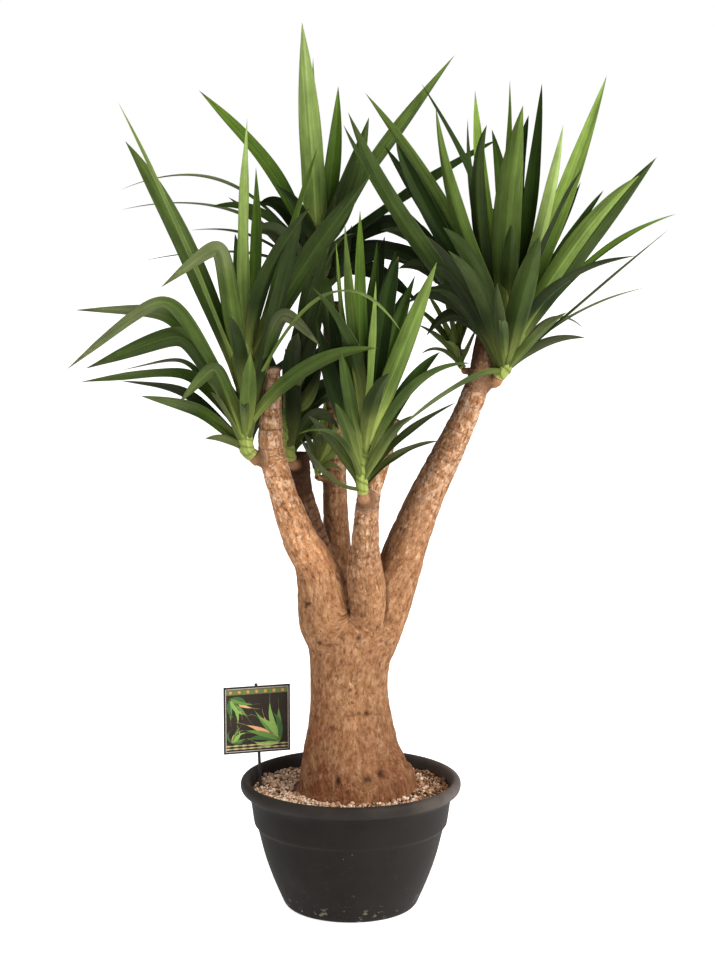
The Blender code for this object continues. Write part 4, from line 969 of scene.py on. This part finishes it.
def leaf_width(share):
    """Width along a leaf as a share of its greatest: it swells from the base, then runs out to a point."""
    rise = np.clip(share / LEAF_WIDEST, 0, 1)
    fall = np.clip((share - LEAF_WIDEST) / (1 - LEAF_WIDEST), 0, 1)
    return (LEAF_BASE + (1 - LEAF_BASE) * np.sin(rise * math.pi / 2)) * (1 - fall**LEAF_TAPER)


def leaf_root(stem, share, aim):
    """A point in the stem, between its lower quarter and its top, on the side that the leaf leaves by."""
    start = len(stem) // 4
    place = start + share * (len(stem) - 1 - start)
    low = min(int(place), len(stem) - 2)
    row = stem[low] + (stem[low + 1] - stem[low]) * (place - low)
    ahead = unit(stem[low + 1][:3] - stem[low][:3])
    out = np.array(aim) - row[:3]
    out -= ahead * out.dot(ahead)
    return Vector(row[:3] + unit(out) * row[3] * ROOT_OUT)


def shown_leaf(stem, share, row, shift):
    """A leaf whose outline was read off the plant, its tip moved in depth by shift cm."""
    middle_x, middle_z, tip_x, tip_z, depth, width, tone = row
    depth += shift
    tip = seen(tip_x, tip_z, depth)
    root = leaf_root(stem, share, tip)
    root_depth = root.y / CM
    middle = seen(middle_x, middle_z, (root_depth + depth) / 2)
    length = (root - middle).length + (middle - tip).length
    full = max(width * CM, LEAF_WIDTH[0] * CM + LEAF_WIDTH[1] * length)
    turn = min(math.acos(width * CM / full), EDGE_ON)
    along = (tip - root).normalized()
    to_left = -1.0 if along.x < 0 else 1.0
    upper = Vector((-to_left * along.z, 0.0, to_left * along.x))
    front = Vector((0.0, -1.0 if depth > root_depth else 1.0, 0.0))
    face = upper.normalized() * math.sin(turn) + front * math.cos(turn)
    return {"root": root, "middle": middle, "tip": tip, "face": face, "width": full, "tone": tone}


def filling_leaf(stem, share, draw, shift):
    """A leaf that fills the head towards the front or the back, turned about the stem by shift."""
    azimuth, lift, length = draw["azimuth"] + shift, draw["lift"], draw["length"]
    out = Vector((math.cos(azimuth), math.sin(azimuth), 0.0))
    root = leaf_root(stem, share, Vector(stem[-1][:3]) + out)
    rise = lift + FILLING_BOW
    middle = root + length / 2 * (out * math.cos(rise) + Vector((0, 0, math.sin(rise))))
    tip = root + length * (out * math.cos(lift) + Vector((0, 0, math.sin(lift))))
    face = Vector((0, 0, 1)) - out / 2
    tone = FILLING_TONES[0] + (FILLING_TONES[1] - FILLING_TONES[0]) * share
    return {"root": root, "middle": middle, "tip": tip, "face": face, "tone": tone,
            "width": LEAF_WIDTH[0] * CM + LEAF_WIDTH[1] * length + draw["wider"]}


def built_leaf(make, step, tries, solid):
    """The leaf as the solid has it: of the row of tries, the one whose tip is a corner of the solid."""
    for number in range(2 * tries + 1):
        leaf = make(step * ((number + 1) // 2) * (1 if number % 2 else -1))
        if solid.find(leaf["tip"])[2] < SAME_PLACE:
            return leaf
    return None


def solid_corners(name):
    """The corners of a head's solid, to look up by place."""
    corners = frame["nodes"][name].data.vertices
    solid = KDTree(len(corners))
    for number, corner in enumerate(corners):
        solid.insert(corner.co, number)
    solid.balance()
    return solid


def shown_rows(name):
    """The rows of a head's leaves, each with its share of the way up the stem and its traits."""
    rows, behind = HEADS[name]["leaves"], HEADS[name].get("behind", ())
    folds, greyings, slims = (table.get(name, {}) for table in (FOLDED, AGED_AND_SHEEN, SLIMMER))
    for index, row in enumerate(rows):
        share = index / (len(rows) - 1)
        yield share, row, {"fold": folds.get(index, 1.0), "age": greyings.get(index, max(0.7 - 2.4 * share, 0.0)),
                           "slim": slims.get(index, 1.0)}
    for index, row in enumerate(behind):
        yield (index + 0.5) / len(behind), row, {"fold": 1.0, "age": 0.0, "slim": 1.0}


def built_leaves(stems):
    """Leaves of every head, in the order and with the draws that the solids were made by."""
    rng = random.Random(SEED)
    lowest, more, chance = FILLING_LIFT
    heads = {}
    for name, head in HEADS.items():
        solid, stem, found = solid_corners(name), stems[name], []
        for share, row, traits in shown_rows(name):
            leaf = built_leaf(lambda shift, share=share, row=row: shown_leaf(stem, share, row, shift),
                              DEPTH_STEP, DEPTH_TRIES, solid)
            if leaf:
                found.append({**leaf, **traits, "share": share})
        count, short, long = head["more"]
        for index in range(count):
            share = (index + 0.5) / count
            draw = {
                "azimuth": math.radians(90 + 180 * (index % 2) + rng.uniform(-FILLING_TURN, FILLING_TURN)),
                "lift": math.radians(lowest + more * share + rng.uniform(-chance, chance)),
                "length": rng.uniform(short, long),
                "wider": rng.uniform(0.0, FILLING_WIDER),
            }
            leaf = built_leaf(lambda shift, share=share, draw=draw: filling_leaf(stem, share, draw, shift),
                              TURN_STEP, TURN_TRIES, solid)
            if leaf:
                at_eye = (leaf["root"] - leaf["tip"]).normalized().y > 0.8
                leaf.update({"slim": 0.55, "tone": 0.4} if at_eye else {"slim": 1.0})
                found.append({**leaf, "fold": 1.0, "age": 0.0, "share": share})
        for number, leaf in enumerate(found):
            leaf["lime"], leaf["deep"] = HEARTS[name]
            # How much lighter one half of each blade is painted than the other, as light and shade on its
            # channel.
            leaf["half"] = 0.14 * math.cos(2.4 * number)
        heads[name] = found
    return heads


def tone_colour(tone):
    return np.stack([np.interp(tone, TONE_STOPS, TONE_COLOURS[:, channel]) for channel in range(3)], axis=-1)


def toward(colour, other, share):
    """A colour moved towards another by a share at each point."""
    return colour + (other - colour) * share[..., None]


def blade_tint(leaf, rng, share, across, upper, long):
    """The colour over a blade: greener or greyer by its tone, its age and painted sheen, with painted shade
    low in the head's heart, a lime base, a paler rib, edges and underside, one half painted lighter than the
    other as light and shade on its channel, and a dry tip."""
    tone = np.clip(leaf["tone"] + rng.uniform(-0.03, 0.03), 0, 1)
    lit = tone + 0.1 * smooth_step(share, 0.5, 1.0) * (tone > 0.4) + 0.05 * (1 - np.abs(across))
    colour = tone_colour(np.clip(lit, 0, 1))
    # Greyer past the middle: partly age, partly painted sheen.
    age = leaf["age"] * rng.uniform(0.45, 0.95)
    bowed = min((leaf["fold"] - 1) / 4, 1)
    age = age * smooth_step(share, 0.3 + 0.2 * bowed, 0.62 + 0.04 * bowed)
    colour = toward(colour, OLIVE * (0.5 + tone), age)
    colour = toward(colour, UNDERSIDE * (0.1 + 1.1 * tone), 0.45 * (upper < 0))
    # Painted shade: darker low down in the heart of the head, less so for pale leaves.
    deep = leaf["deep"] * (1 - (0.2 + 0.6 * leaf["lime"]) * tone) * (1 - smooth_step(share, 0.1, 0.6))
    colour = colour * (1 - HEART_SHADE * np.clip(deep, 0, 1.3)[..., None])
    # Painted light and shade: one half of the blade lighter than the other, as on a lit channel.
    colour = colour * (1 + leaf["half"] * np.tanh(4 * across))[..., None]
    colour = toward(colour, EDGE_GREEN * (0.4 + tone), 0.5 * (np.abs(across) > 0.99))
    colour = toward(colour, tone_colour(np.clip(tone + 0.2, 0, 1)), 0.35 * hump(across, 0.06) * (1 - share))
    lime = 1 - smooth_step(share * long, 0.012, 0.05 + 0.06 * leaf["lime"])
    lime = lime * (0.35 + 0.65 * np.clip(leaf["share"] * 1.5, 0, 1)) * (0.4 + 0.6 * leaf["lime"])
    colour = toward(colour, LIME * (0.55 + 0.5 * tone), 0.8 * lime)
    return toward(colour, DRY, 0.5 * smooth_step(share, 0.975, 0.998))


def add_blade(surface, leaf, rng):
    """A closed blade. Its middle line is the weighted curve of second degree through root, middle and tip;
    across it the section is a shallow channel, u from edge to edge, with depth * (1 - |u|^1.2), and the two
    faces lie half the thickness to either side of it, meeting at the edges."""
    root, middle, tip, face = (np.array(leaf[key]) for key in ("root", "middle", "tip", "face"))
    weight = leaf["fold"]
    bend = (middle * (2 + 2 * weight) - root - tip) / (2 * weight)
    t = np.linspace(0, 1, BLADE_ROWS)[:, None]
    t = t + 0.12 * np.sin(2 * math.pi * t) / (2 * math.pi)
    low, mid, high = (1 - t) ** 2, 2 * weight * t * (1 - t), t**2
    place = (low * root + mid * bend + high * tip) / (low + mid + high)
    ahead = unit(np.gradient(place, axis=0))
    length = lengths_along(place)[:, None]
    share = length / length[-1]
    face = unit(face - ahead * (ahead @ face)[:, None])
    side = np.cross(ahead, face)
    twist = rng.uniform(-BLADE_TWIST, BLADE_TWIST) * smooth_step(share, 0.25, 1.0)
    face, side = face * np.cos(twist) + side * np.sin(twist), side * np.cos(twist) - face * np.sin(twist)
    run = t + (share - t) * min(weight - 1, 1)
    broad = 0.4 * smooth_step(leaf["tone"], 0.6, 0.75) * (1 - smooth_step(run, 0.0, LEAF_WIDEST))
    half = leaf["width"] / 2 * (leaf_width(run) + broad + 0.22 * hump(run, 0.05))
    half = np.maximum(half * leaf["slim"], 0.0005)
    u = np.concatenate([BLADE_ACROSS, BLADE_ACROSS[-2:0:-1]])[None, :]
    upper = np.concatenate([np.ones(len(BLADE_ACROSS)), -np.ones(len(BLADE_ACROSS) - 2)])[None, :]
    upper = np.where(np.abs(u) == 1, 0.0, upper)
    channel = LEAF_CHANNEL * (1 + 0.9 * hump(share, 0.12) + 0.3 * smooth_step(share, 0.7, 1.0))
    fold = channel * 2 * half * (1 - np.abs(u) ** 1.2)
    thick = LEAF_THICK * CM / 2 * (1 - 0.6 * share) * (1 - u**2) ** 0.6 * np.clip(half / 0.006, 0.35, 1)
    swing = np.sin(2 * math.pi * (rng.uniform(1.2, 2.6) * share + rng.random()))
    wave = BLADE_WAVE * swing * u**2 * np.sign(u) * np.clip(half / 0.012, 0, 1)
    out = upper * thick + wave - fold
    grid = place[:, None] + side[:, None] * (half * u)[..., None] + face[:, None] * out[..., None]

    share, across, upper = np.broadcast_arrays(share[:-1], u, upper)
    tint = blade_tint(leaf, rng, share, across, upper, length[-1])
    tint = np.vstack([tint.reshape(-1, 3), LIME * 0.5, tint[-1, 0]])
    along = np.broadcast_to(length[:-1], share.shape)
    blade = np.stack([half[:-1] * u, along, np.full(share.shape, rng.uniform(0, 50))], axis=-1)
    blade = np.vstack([blade.reshape(-1, 3), (0, 0, 0), (0, length[-1, 0], 0)])
    surface.add_rings(grid[:-1], place[0], tip, tint=tint, blade=blade)


def add_stem(surface, path, rng):
    """The young shoot: a tube whose radius steps back at each leaf base, r * (1 + step * saw), where the saw
    climbs the stem in a spiral, and which rounds off at its top."""
    path = even_path(path, 0.0014)
    _, across, up = ring_frames(path, (0.0, 1.0, 0.0))
    turns, rays = ring_rays(across, up, STEM_SIDES)
    radius, along, total = path[:, 3:4], path[:, 4:5], path[-1, 4]
    climb = along / STEM_SHEATH + turns / math.pi
    saw = climb - np.floor(climb)
    sheath = radius * (0.93 + 0.16 * (1 - saw) * smooth_step(saw, 0.0, 0.12))
    sheath = sheath * np.sqrt(np.clip((total - along) / (0.6 * radius) + 0.02, 0, 1))
    lime, deep = LIME * 0.78, tone_colour(0.42)
    colour = toward(lime, deep, smooth_step(along, 0.03, 0.085))
    colour = colour * (0.55 + 0.55 * smooth_step(saw, 0.03, 0.4))[..., None]
    colour = toward(colour, STEM_YELLOW, 0.6 * (1 - smooth_step(along, 0.0, 0.008)))
    tint = np.vstack([colour.reshape(-1, 3), lime, deep])
    blade = np.broadcast_arrays(turns * 0.01, along, rng.uniform(0, 50))
    blade = np.vstack([np.stack(blade, axis=-1).reshape(-1, 3), (0, 0, 0), (0, total, 0)])
    surface.add_rings(path[:, None, :3] + sheath[..., None] * rays, path[0, :3], path[-1, :3], tint=tint,
                      blade=blade)


def make_heads(stems, look):
    rng = np.random.default_rng(HEAD_SEED)
    for name, leaves in built_leaves(stems).items():
        surface = Surface()
        add_stem(surface, limb_path(HEADS[name]["stem"]), rng)
        for leaf in leaves:
            add_blade(surface, leaf, rng)
        piece = name + "_leaves"
        place_piece(piece, surface.mesh(piece), look, "leaf", name)


# Pot and potting mix

POT_PROFILE = (
    (0.0, 0.0), (9.6, 0.0), (10.1, 0.02), (10.6, 0.2), (11.0, 0.7), (11.3, 1.4), (12.6, 4.4), (14.0, 8.3),
    (15.1, 12.9), (15.22, 13.35), (15.65, 13.75), (15.78, 14.1), (16.3, 18.0), (16.72, 18.7), (17.3, 18.98),
    (17.75, 19.35), (17.95, 19.95), (17.9, 20.6), (17.55, 21.05), (17.1, 21.17), (16.7, 20.95), (16.42, 20.4),
    (16.3, 19.7), (15.8, 17.6), (15.3, 14.1), (14.7, 13.1), (13.6, 8.3), (12.2, 4.4), (10.7, 1.2),
    (10.2, 0.5), (0.0, 0.5),
)  # (radius, height), cm
POT_SIDES = 144
DRAIN_HOLES = 6
DRAIN_RADIUS = 0.6  # cm
DRAIN_RING = 7.6  # cm
SOIL_EDGE = 16.14  # cm, just inside the pot's wall at the soil's height
SOIL_SIDES = 180
FOOT_MIDDLE = 0.8  # cm, how far the trunk's foot stands to the right
GRAINS = {  # how many, their least and greatest size in metres, how flat they may be, and their tints
    "soil_grains_pale": (3000, (0.0013, 0.0032), (0.6, 1.0),
                         ((0.68, 0.45, 0.31), (0.76, 0.55, 0.4), (0.58, 0.36, 0.23), (0.84, 0.68, 0.53))),
    "soil_grains_dark": (2300, (0.0012, 0.0036), (0.4, 1.0),
                         ((0.36, 0.19, 0.1), (0.24, 0.125, 0.065), (0.46, 0.26, 0.14), (0.12, 0.063, 0.035))),
}
GRAIN_RING = (0.09, 0.1595)  # metres from the pot's middle
PALE_TURN = math.radians(212)  # the side where most of the pale grains lie


def cut_corners(profile, rounds):
    """Rounds a line of points: each pass puts two points at a quarter and three quarters of every stretch."""
    points = np.array(profile, float)
    for _ in range(rounds):
        quarter = points[:-1] * 0.75 + points[1:] * 0.25
        three = points[:-1] * 0.25 + points[1:] * 0.75
        points = np.vstack([points[:1], np.stack([quarter, three], axis=1).reshape(-1, 2), points[-1:]])
    return points


def turned_surface(surface, profile, sides, relief=None):
    """A profile of (radius, height) in metres turned about the upright axis, where it starts and ends."""
    turns = 2 * math.pi * np.arange(sides) / sides
    turn, radius, height = np.broadcast_arrays(turns, profile[1:-1, :1], profile[1:-1, 1:])
    if relief is not None:
        height = relief(turn, radius, height)
    grid = np.stack([radius * np.cos(turn), radius * np.sin(turn), height], axis=-1)
    surface.add_rings(grid, (0, 0, profile[0][1]), (0, 0, profile[-1][1]))


def make_pot():
    """The wall's profile turned round the middle, with the drain holes cut through its floor."""
    surface = Surface()
    turned_surface(surface, cut_corners(POT_PROFILE, 2) * CM, POT_SIDES)
    pot = place_piece("pot_wall", surface.mesh("pot_wall"), pot_look(), "pot", "pot")
    holes = bpy.data.collections.new("drain_holes")
    for hole in range(DRAIN_HOLES):
        turn = 2 * math.pi * (hole + 0.5) / DRAIN_HOLES
        cutter = Surface()
        turned_surface(cutter, np.array([(0, -1), (DRAIN_RADIUS, -1), (DRAIN_RADIUS, 1), (0, 1)]) * CM, 32)
        cutter.points[0] += np.array((math.cos(turn), math.sin(turn), 0)) * DRAIN_RING * CM
        holes.objects.link(bpy.data.objects.new("drain", cutter.mesh("drain")))
    bpy.context.scene.collection.children.link(holes)
    cut = pot.modifiers.new("drains", "BOOLEAN")
    cut.operation, cut.operand_type, cut.collection, cut.solver = "DIFFERENCE", "COLLECTION", holes, "EXACT"
    bpy.context.view_layer.objects.active = pot
    bpy.ops.object.modifier_apply(modifier="drains")
    for drain in list(holes.objects):
        bpy.data.objects.remove(drain, do_unlink=True)
    bpy.data.collections.remove(holes)
    pot.data.set_sharp_from_angle(angle=math.radians(50))


def soil_height(x, y):
    """Height of the potting mix: level, with low heaps of two sizes and a slight rise against the trunk."""
    places = np.stack([x / 0.03, y / 0.03, np.zeros_like(x)], axis=-1)
    finer = np.stack([x / 0.008, y / 0.008, np.ones_like(x)], axis=-1)
    rise = 0.003 * np.exp(-np.maximum(np.hypot(x - FOOT_MIDDLE * CM, y) - 0.099, 0) / 0.012)
    return SOIL_TOP * CM - 0.003 + 0.0022 * soft_noise(places, 5) + 0.0012 * soft_noise(finer, 6) + rise


def make_soil():
    """A turned body inside the pot whose top follows the soil's height, and loose grains on it."""
    surface = Surface()
    below = [(0, 0.56), (10.1, 0.56), (10.6, 1.2), (12.1, 4.4), (13.5, 8.3), (14.6, 13.1), (15.2, 14.1),
             (15.7, 17.6), (SOIL_EDGE - 0.08, 18.9), (SOIL_EDGE - 0.06, 19.1)]
    top = [(radius, SOIL_TOP) for radius in np.linspace(SOIL_EDGE - 0.1, 0.5, 70)]
    profile = np.array([*below, *top, (0, SOIL_TOP)]) * CM

    def relief(turn, radius, height):
        level = soil_height(radius * np.cos(turn), radius * np.sin(turn))
        return np.where(height > (SOIL_TOP - 0.01) * CM, level, height)

    turned_surface(surface, profile, SOIL_SIDES, relief)
    place_piece("soil_bed", surface.mesh("soil_bed"), soil_look(), "soil", "soil")
    make_grains()


def grain_shape():
    """The twelve corners and twenty faces of an even twenty-sided body of radius one."""
    golden = (1 + math.sqrt(5)) / 2
    corners = np.array([(-1, golden, 0), (1, golden, 0), (-1, -golden, 0), (1, -golden, 0), (0, -1, golden),
                        (0, 1, golden), (0, -1, -golden), (0, 1, -golden), (golden, 0, -1), (golden, 0, 1),
                        (-golden, 0, -1), (-golden, 0, 1)]) / math.hypot(1, golden)
    faces = np.array([(0, 11, 5), (0, 5, 1), (0, 1, 7), (0, 7, 10), (0, 10, 11), (1, 5, 9), (5, 11, 4),
                      (11, 10, 2), (10, 7, 6), (7, 1, 8), (3, 9, 4), (3, 4, 2), (3, 2, 6), (3, 6, 8),
                      (3, 8, 9), (4, 9, 5), (2, 4, 11), (6, 2, 10), (8, 6, 7), (9, 8, 1)])
    return corners, faces


def turned(points, first, second, angles):
    """Points turned by an angle for each body, from the first axis towards the second."""
    cos, sin = np.cos(angles)[:, None], np.sin(angles)[:, None]
    done = points.copy()
    done[..., first] = points[..., first] * cos - points[..., second] * sin
    done[..., second] = points[..., first] * sin + points[..., second] * cos
    return done


def make_grains():
    """Grains strewn over the ring of soil: the twenty-sided body stretched, dented and turned for each."""
    rng = np.random.default_rng(41)
    look = grain_look()
    corners, faces = grain_shape()
    for name, (count, sizes, flat, tints) in GRAINS.items():
        tries = count * 6
        turn = rng.uniform(0, 2 * math.pi, tries)
        radius = np.sqrt(rng.uniform(GRAIN_RING[0] ** 2, GRAIN_RING[1] ** 2, tries))
        x, y = radius * np.cos(turn), radius * np.sin(turn)
        off_foot = np.hypot(x - FOOT_MIDDLE * CM, y) > 0.1
        pale_side = 0.5 + 0.5 * np.cos(turn - PALE_TURN)
        keep = (0.08 + 0.92 * pale_side) if "pale" in name else (1.0 - 0.4 * pale_side)
        clump = soft_noise(np.stack([x / 0.02, y / 0.02, np.full(tries, 3.0)], axis=-1), 9)
        keep = keep + 0.75 * clump * ((0.4 + 0.6 * pale_side) if "pale" in name else -1)
        chosen = np.flatnonzero(off_foot & (rng.random(tries) < keep))[:count]
        x, y = x[chosen], y[chosen]
        number = len(chosen)
        size = rng.uniform(*sizes, number) * (1 + 0.5 * (rng.random(number) < 0.1))
        stretch = [np.ones(number), rng.uniform(0.65, 1.0, number), rng.uniform(*flat, number)]
        dents = 1 + rng.uniform(-0.16, 0.16, (number, 12))
        local = corners[None] * (dents * size[:, None])[..., None] * np.stack(stretch, axis=-1)[:, None]
        spin, lean = rng.uniform(0, 2 * math.pi, number), rng.uniform(-0.5, 0.5, number)
        spun = turned(turned(local, 0, 2, lean), 0, 1, spin)
        z = soil_height(x, y) + size * rng.uniform(0.1, 0.75, number) + 0.0006
        points = (spun + np.stack([x, y, z], axis=-1)[:, None]).reshape(-1, 3)
        tint = np.array(tints)[rng.integers(0, len(tints), number)] * rng.uniform(0.75, 1.2, (number, 1))
        triangles = (faces[None] + 12 * np.arange(number)[:, None, None]).reshape(-1, 3)
        surface = Surface()
        surface.add(points, None, triangles, tint=np.repeat(tint, 12, axis=0))
        place_piece(name, surface.mesh(name), look, "soil")


# Plant card

CARD_SIZE = 11.1  # cm
CARD_THICK = 0.1  # cm
CARD_MIDDLE = (-15.2, 30.8, 1.0)  # x, z and depth, cm
CARD_TURN = math.radians(16)
CARD_EDGE = CARD_SIZE / 2 - 0.35  # cm from the card's middle to its printed frame
PRINT_LIFT = 0.012  # cm that the printed shapes stand off the card
PRINT_BLADES = ((0.12, 0.24, 0.05), (0.24, 0.4, 0.09), (0.05, 0.13, 0.035), (0.72, 0.38, 0.18))
PRINT_BAND, PRINT_DISC = (0.13, 0.17, 0.05), (0.62, 0.27, 0.08)
PRINT_BAR, PRINT_FRAME = (0.5, 0.42, 0.2), (0.6, 0.57, 0.5)
PRINT_FANS = (  # (side, up) of a fan's foot, its first blade's turn, the turn to the next, length and count
    (CARD_EDGE - 1.4, -CARD_EDGE + 1.5, 92, 9.0, 7.0, 11),
    (-CARD_EDGE + 0.7, CARD_EDGE - 1.6, -88, 9.5, 4.6, 9),
    (-CARD_EDGE + 1.0, -CARD_EDGE + 1.5, 12, 12.0, 3.0, 7),
)


def card_points(side, up, back):
    """Points of the label in its own turned frame, cm from the card's middle, as metres in the room."""
    middle = np.array(seen(*CARD_MIDDLE))
    turn = [side * math.cos(CARD_TURN) - back * math.sin(CARD_TURN),
            side * math.sin(CARD_TURN) + back * math.cos(CARD_TURN), up]
    return middle + np.stack(turn, axis=-1) * CM


def printed(surface, line, half_widths, tint, layer):
    """A flat printed shape: a band of the given half width to either side of a line of (side, up) points."""
    line = np.array(line, float)
    ahead = unit(np.gradient(line, axis=0))
    half_widths = np.broadcast_to(half_widths, len(line))
    square = np.stack([-ahead[:, 1], ahead[:, 0]], axis=-1) * half_widths[:, None]
    rows = np.stack([line - square, line + square], axis=1).reshape(-1, 2)
    rows = np.clip(rows, -CARD_SIZE / 2 + 0.05, CARD_SIZE / 2 - 0.05)
    back = np.full(len(rows), -CARD_THICK / 2 - PRINT_LIFT * (1 + 0.25 * layer))
    number = np.arange(len(line) - 1) * 2
    quads = np.stack([number, number + 2, number + 3, number + 1], axis=-1)
    surface.add(card_points(rows[:, 0], rows[:, 1], back), quads, tint=np.tile(tint, (len(rows), 1)))


def level_line(height, points=30):
    """A level line from edge to edge of the card."""
    return np.stack([np.linspace(-CARD_EDGE, CARD_EDGE, points), np.full(points, height)], axis=-1)


def make_label():
    """The card keeps its solid. Its print is a made-up pattern: blades that fan out of three corners, two
    wavy bars below them, a broad band along the top edge with a row of discs, and a thin pale frame."""
    surface = Surface()
    share = np.linspace(0, 1, 14)
    for side, up, first, spread, long, blades in PRINT_FANS:
        for number in range(blades):
            turn = math.radians(first + spread * number)
            reach = long * (1 + 0.22 * math.sin(number * 1.9))
            bow = 0.9 * math.sin(number * 2.3) * np.sin(share * math.pi)
            ahead = np.array((math.cos(turn), math.sin(turn)))
            beside = np.array((-math.sin(turn), math.cos(turn)))
            line = np.array((side, up)) + ahead * reach * share[:, None] + beside * bow[:, None]
            half = 0.06 * long * np.sin(np.clip(share * 1.15 + 0.12, 0, 1) * math.pi) + 0.015
            printed(surface, line, half, PRINT_BLADES[number % 4], 1 + number % 3)
    for height in (-CARD_EDGE + 0.45, -CARD_EDGE + 0.95):
        printed(surface, level_line(height), 0.1 + 0.06 * np.sin(np.arange(30) * 1.7), PRINT_BAR, 4)
    band = CARD_EDGE - 0.55
    printed(surface, level_line(band), 0.42, PRINT_BAND, 4)
    arc = np.linspace(0, math.pi, 12)
    for number in range(7):
        middle = np.array((-CARD_EDGE + 0.8 + number * 1.45, band))
        line = middle + np.stack([0.26 * np.cos(arc), np.zeros(12)], axis=-1)
        printed(surface, line, 0.26 * np.sin(arc) + 0.002, PRINT_DISC, 5)
    corner = np.array([(-1, -1), (1, -1), (1, 1), (-1, 1), (-1, -1)]) * CARD_EDGE
    for first, second in zip(corner, corner[1:]):
        printed(surface, first + (second - first) * share[:, None], 0.045, PRINT_FRAME, 6)
    place_piece("card_print", surface.mesh("card_print"), print_look(), "card")
    card = mottled_look("card", 0.12, 30.0, (0.03, 0.022, 0.017), (0.042, 0.032, 0.025))
    stake = mottled_look("stake", 0.4, 120.0, (0.009, 0.009, 0.009), (0.02, 0.019, 0.018))
    for name, look in (("label_card", card), ("label_stake", stake)):
        for slot in frame["nodes"][name].material_slots:
            slot.material = look


# Room

AMBIENT = 0.5  # how strongly the white room lights the plant; it shows as pure white behind it
FLOOR_LIGHT = 0.4  # how much light the floor gives back to the plant
FLOOR_GLOW = 0.8  # how much the floor adds where it is looked at, so that it stays white under the plant
FLOOR_HALF = 30  # metres


def area_light(name, place, aim, size, power, colour):
    lamp = bpy.data.lights.new(name, "AREA")
    lamp.shape, lamp.size, lamp.energy, lamp.color = "SQUARE", size, power, colour
    holder = bpy.data.objects.new(name, lamp)
    holder.location = place
    holder.rotation_euler = (Vector(aim) - Vector(place)).to_track_quat("-Z", "Y").to_euler()
    bpy.context.scene.collection.objects.link(holder)


def by_eye(tree, lighting, looked_at):
    """One strength for what a surface gives to the others, and another where it is looked at."""
    straight = node(tree, "ShaderNodeLightPath").outputs["Is Camera Ray"]
    return ranged(tree, straight, 0.0, 1.0, lighting, looked_at)


def make_camera():
    camera = bpy.data.cameras.new("camera")
    camera.sensor_fit, camera.sensor_height, camera.lens = "VERTICAL", 36.0, EYE_LENS
    holder = bpy.data.objects.new("camera", camera)
    holder.location = EYE
    holder.rotation_euler = (math.pi / 2 - EYE_DOWN, 0, 0)
    bpy.context.scene.collection.objects.link(holder)
    bpy.context.scene.camera = holder


def make_floor():
    mesh = bpy.data.meshes.new("floor")
    corners = [(x * FLOOR_HALF, y * FLOOR_HALF, 0) for x, y in ((-1, -1), (1, -1), (1, 1), (-1, 1))]
    mesh.from_pydata(corners, [], [(0, 1, 2, 3)])
    floor = bpy.data.objects.new("floor", mesh)
    bpy.context.scene.collection.objects.link(floor)
    look, tree, shader = new_look("floor", 0.9, 0.1)
    pattern = noise(tree, object_place(tree), 2.0, 2.0, 0.5)
    coloured(tree, shader, ramp(tree, pattern, (0.0, 0.93), (1.0, 0.95)))
    shader.inputs["Emission Color"].default_value = (1.0, 1.0, 1.0, 1.0)
    tree.links.new(by_eye(tree, FLOOR_LIGHT, FLOOR_GLOW), shader.inputs["Emission Strength"])
    mesh.materials.append(look)


def make_room():
    make_camera()
    make_floor()
    world = bpy.data.worlds.new("studio")
    world.use_nodes = True
    tree = world.node_tree
    tree.nodes["Background"].inputs["Color"].default_value = (1.0, 1.0, 1.0, 1.0)
    tree.links.new(by_eye(tree, AMBIENT, 1.0), tree.nodes["Background"].inputs["Strength"])
    bpy.context.scene.world = world
    bpy.context.scene.view_settings.view_transform = "Standard"
    area_light("key", (3.0, -2.5, 2.9), (0, 0, 0.7), 2.4, 208, (1.0, 0.98, 0.95))
    area_light("side", (-3.0, -1.5, 2.2), (0, 0, 0.8), 1.8, 15, (1.0, 0.98, 0.96))


def main():
    stems = {name: limb_path(head["stem"], 2) for name, head in HEADS.items()}
    make_room()
    make_trunk(stems)
    make_heads(stems, leaf_look())
    make_pot()
    make_soil()
    make_label()


main()
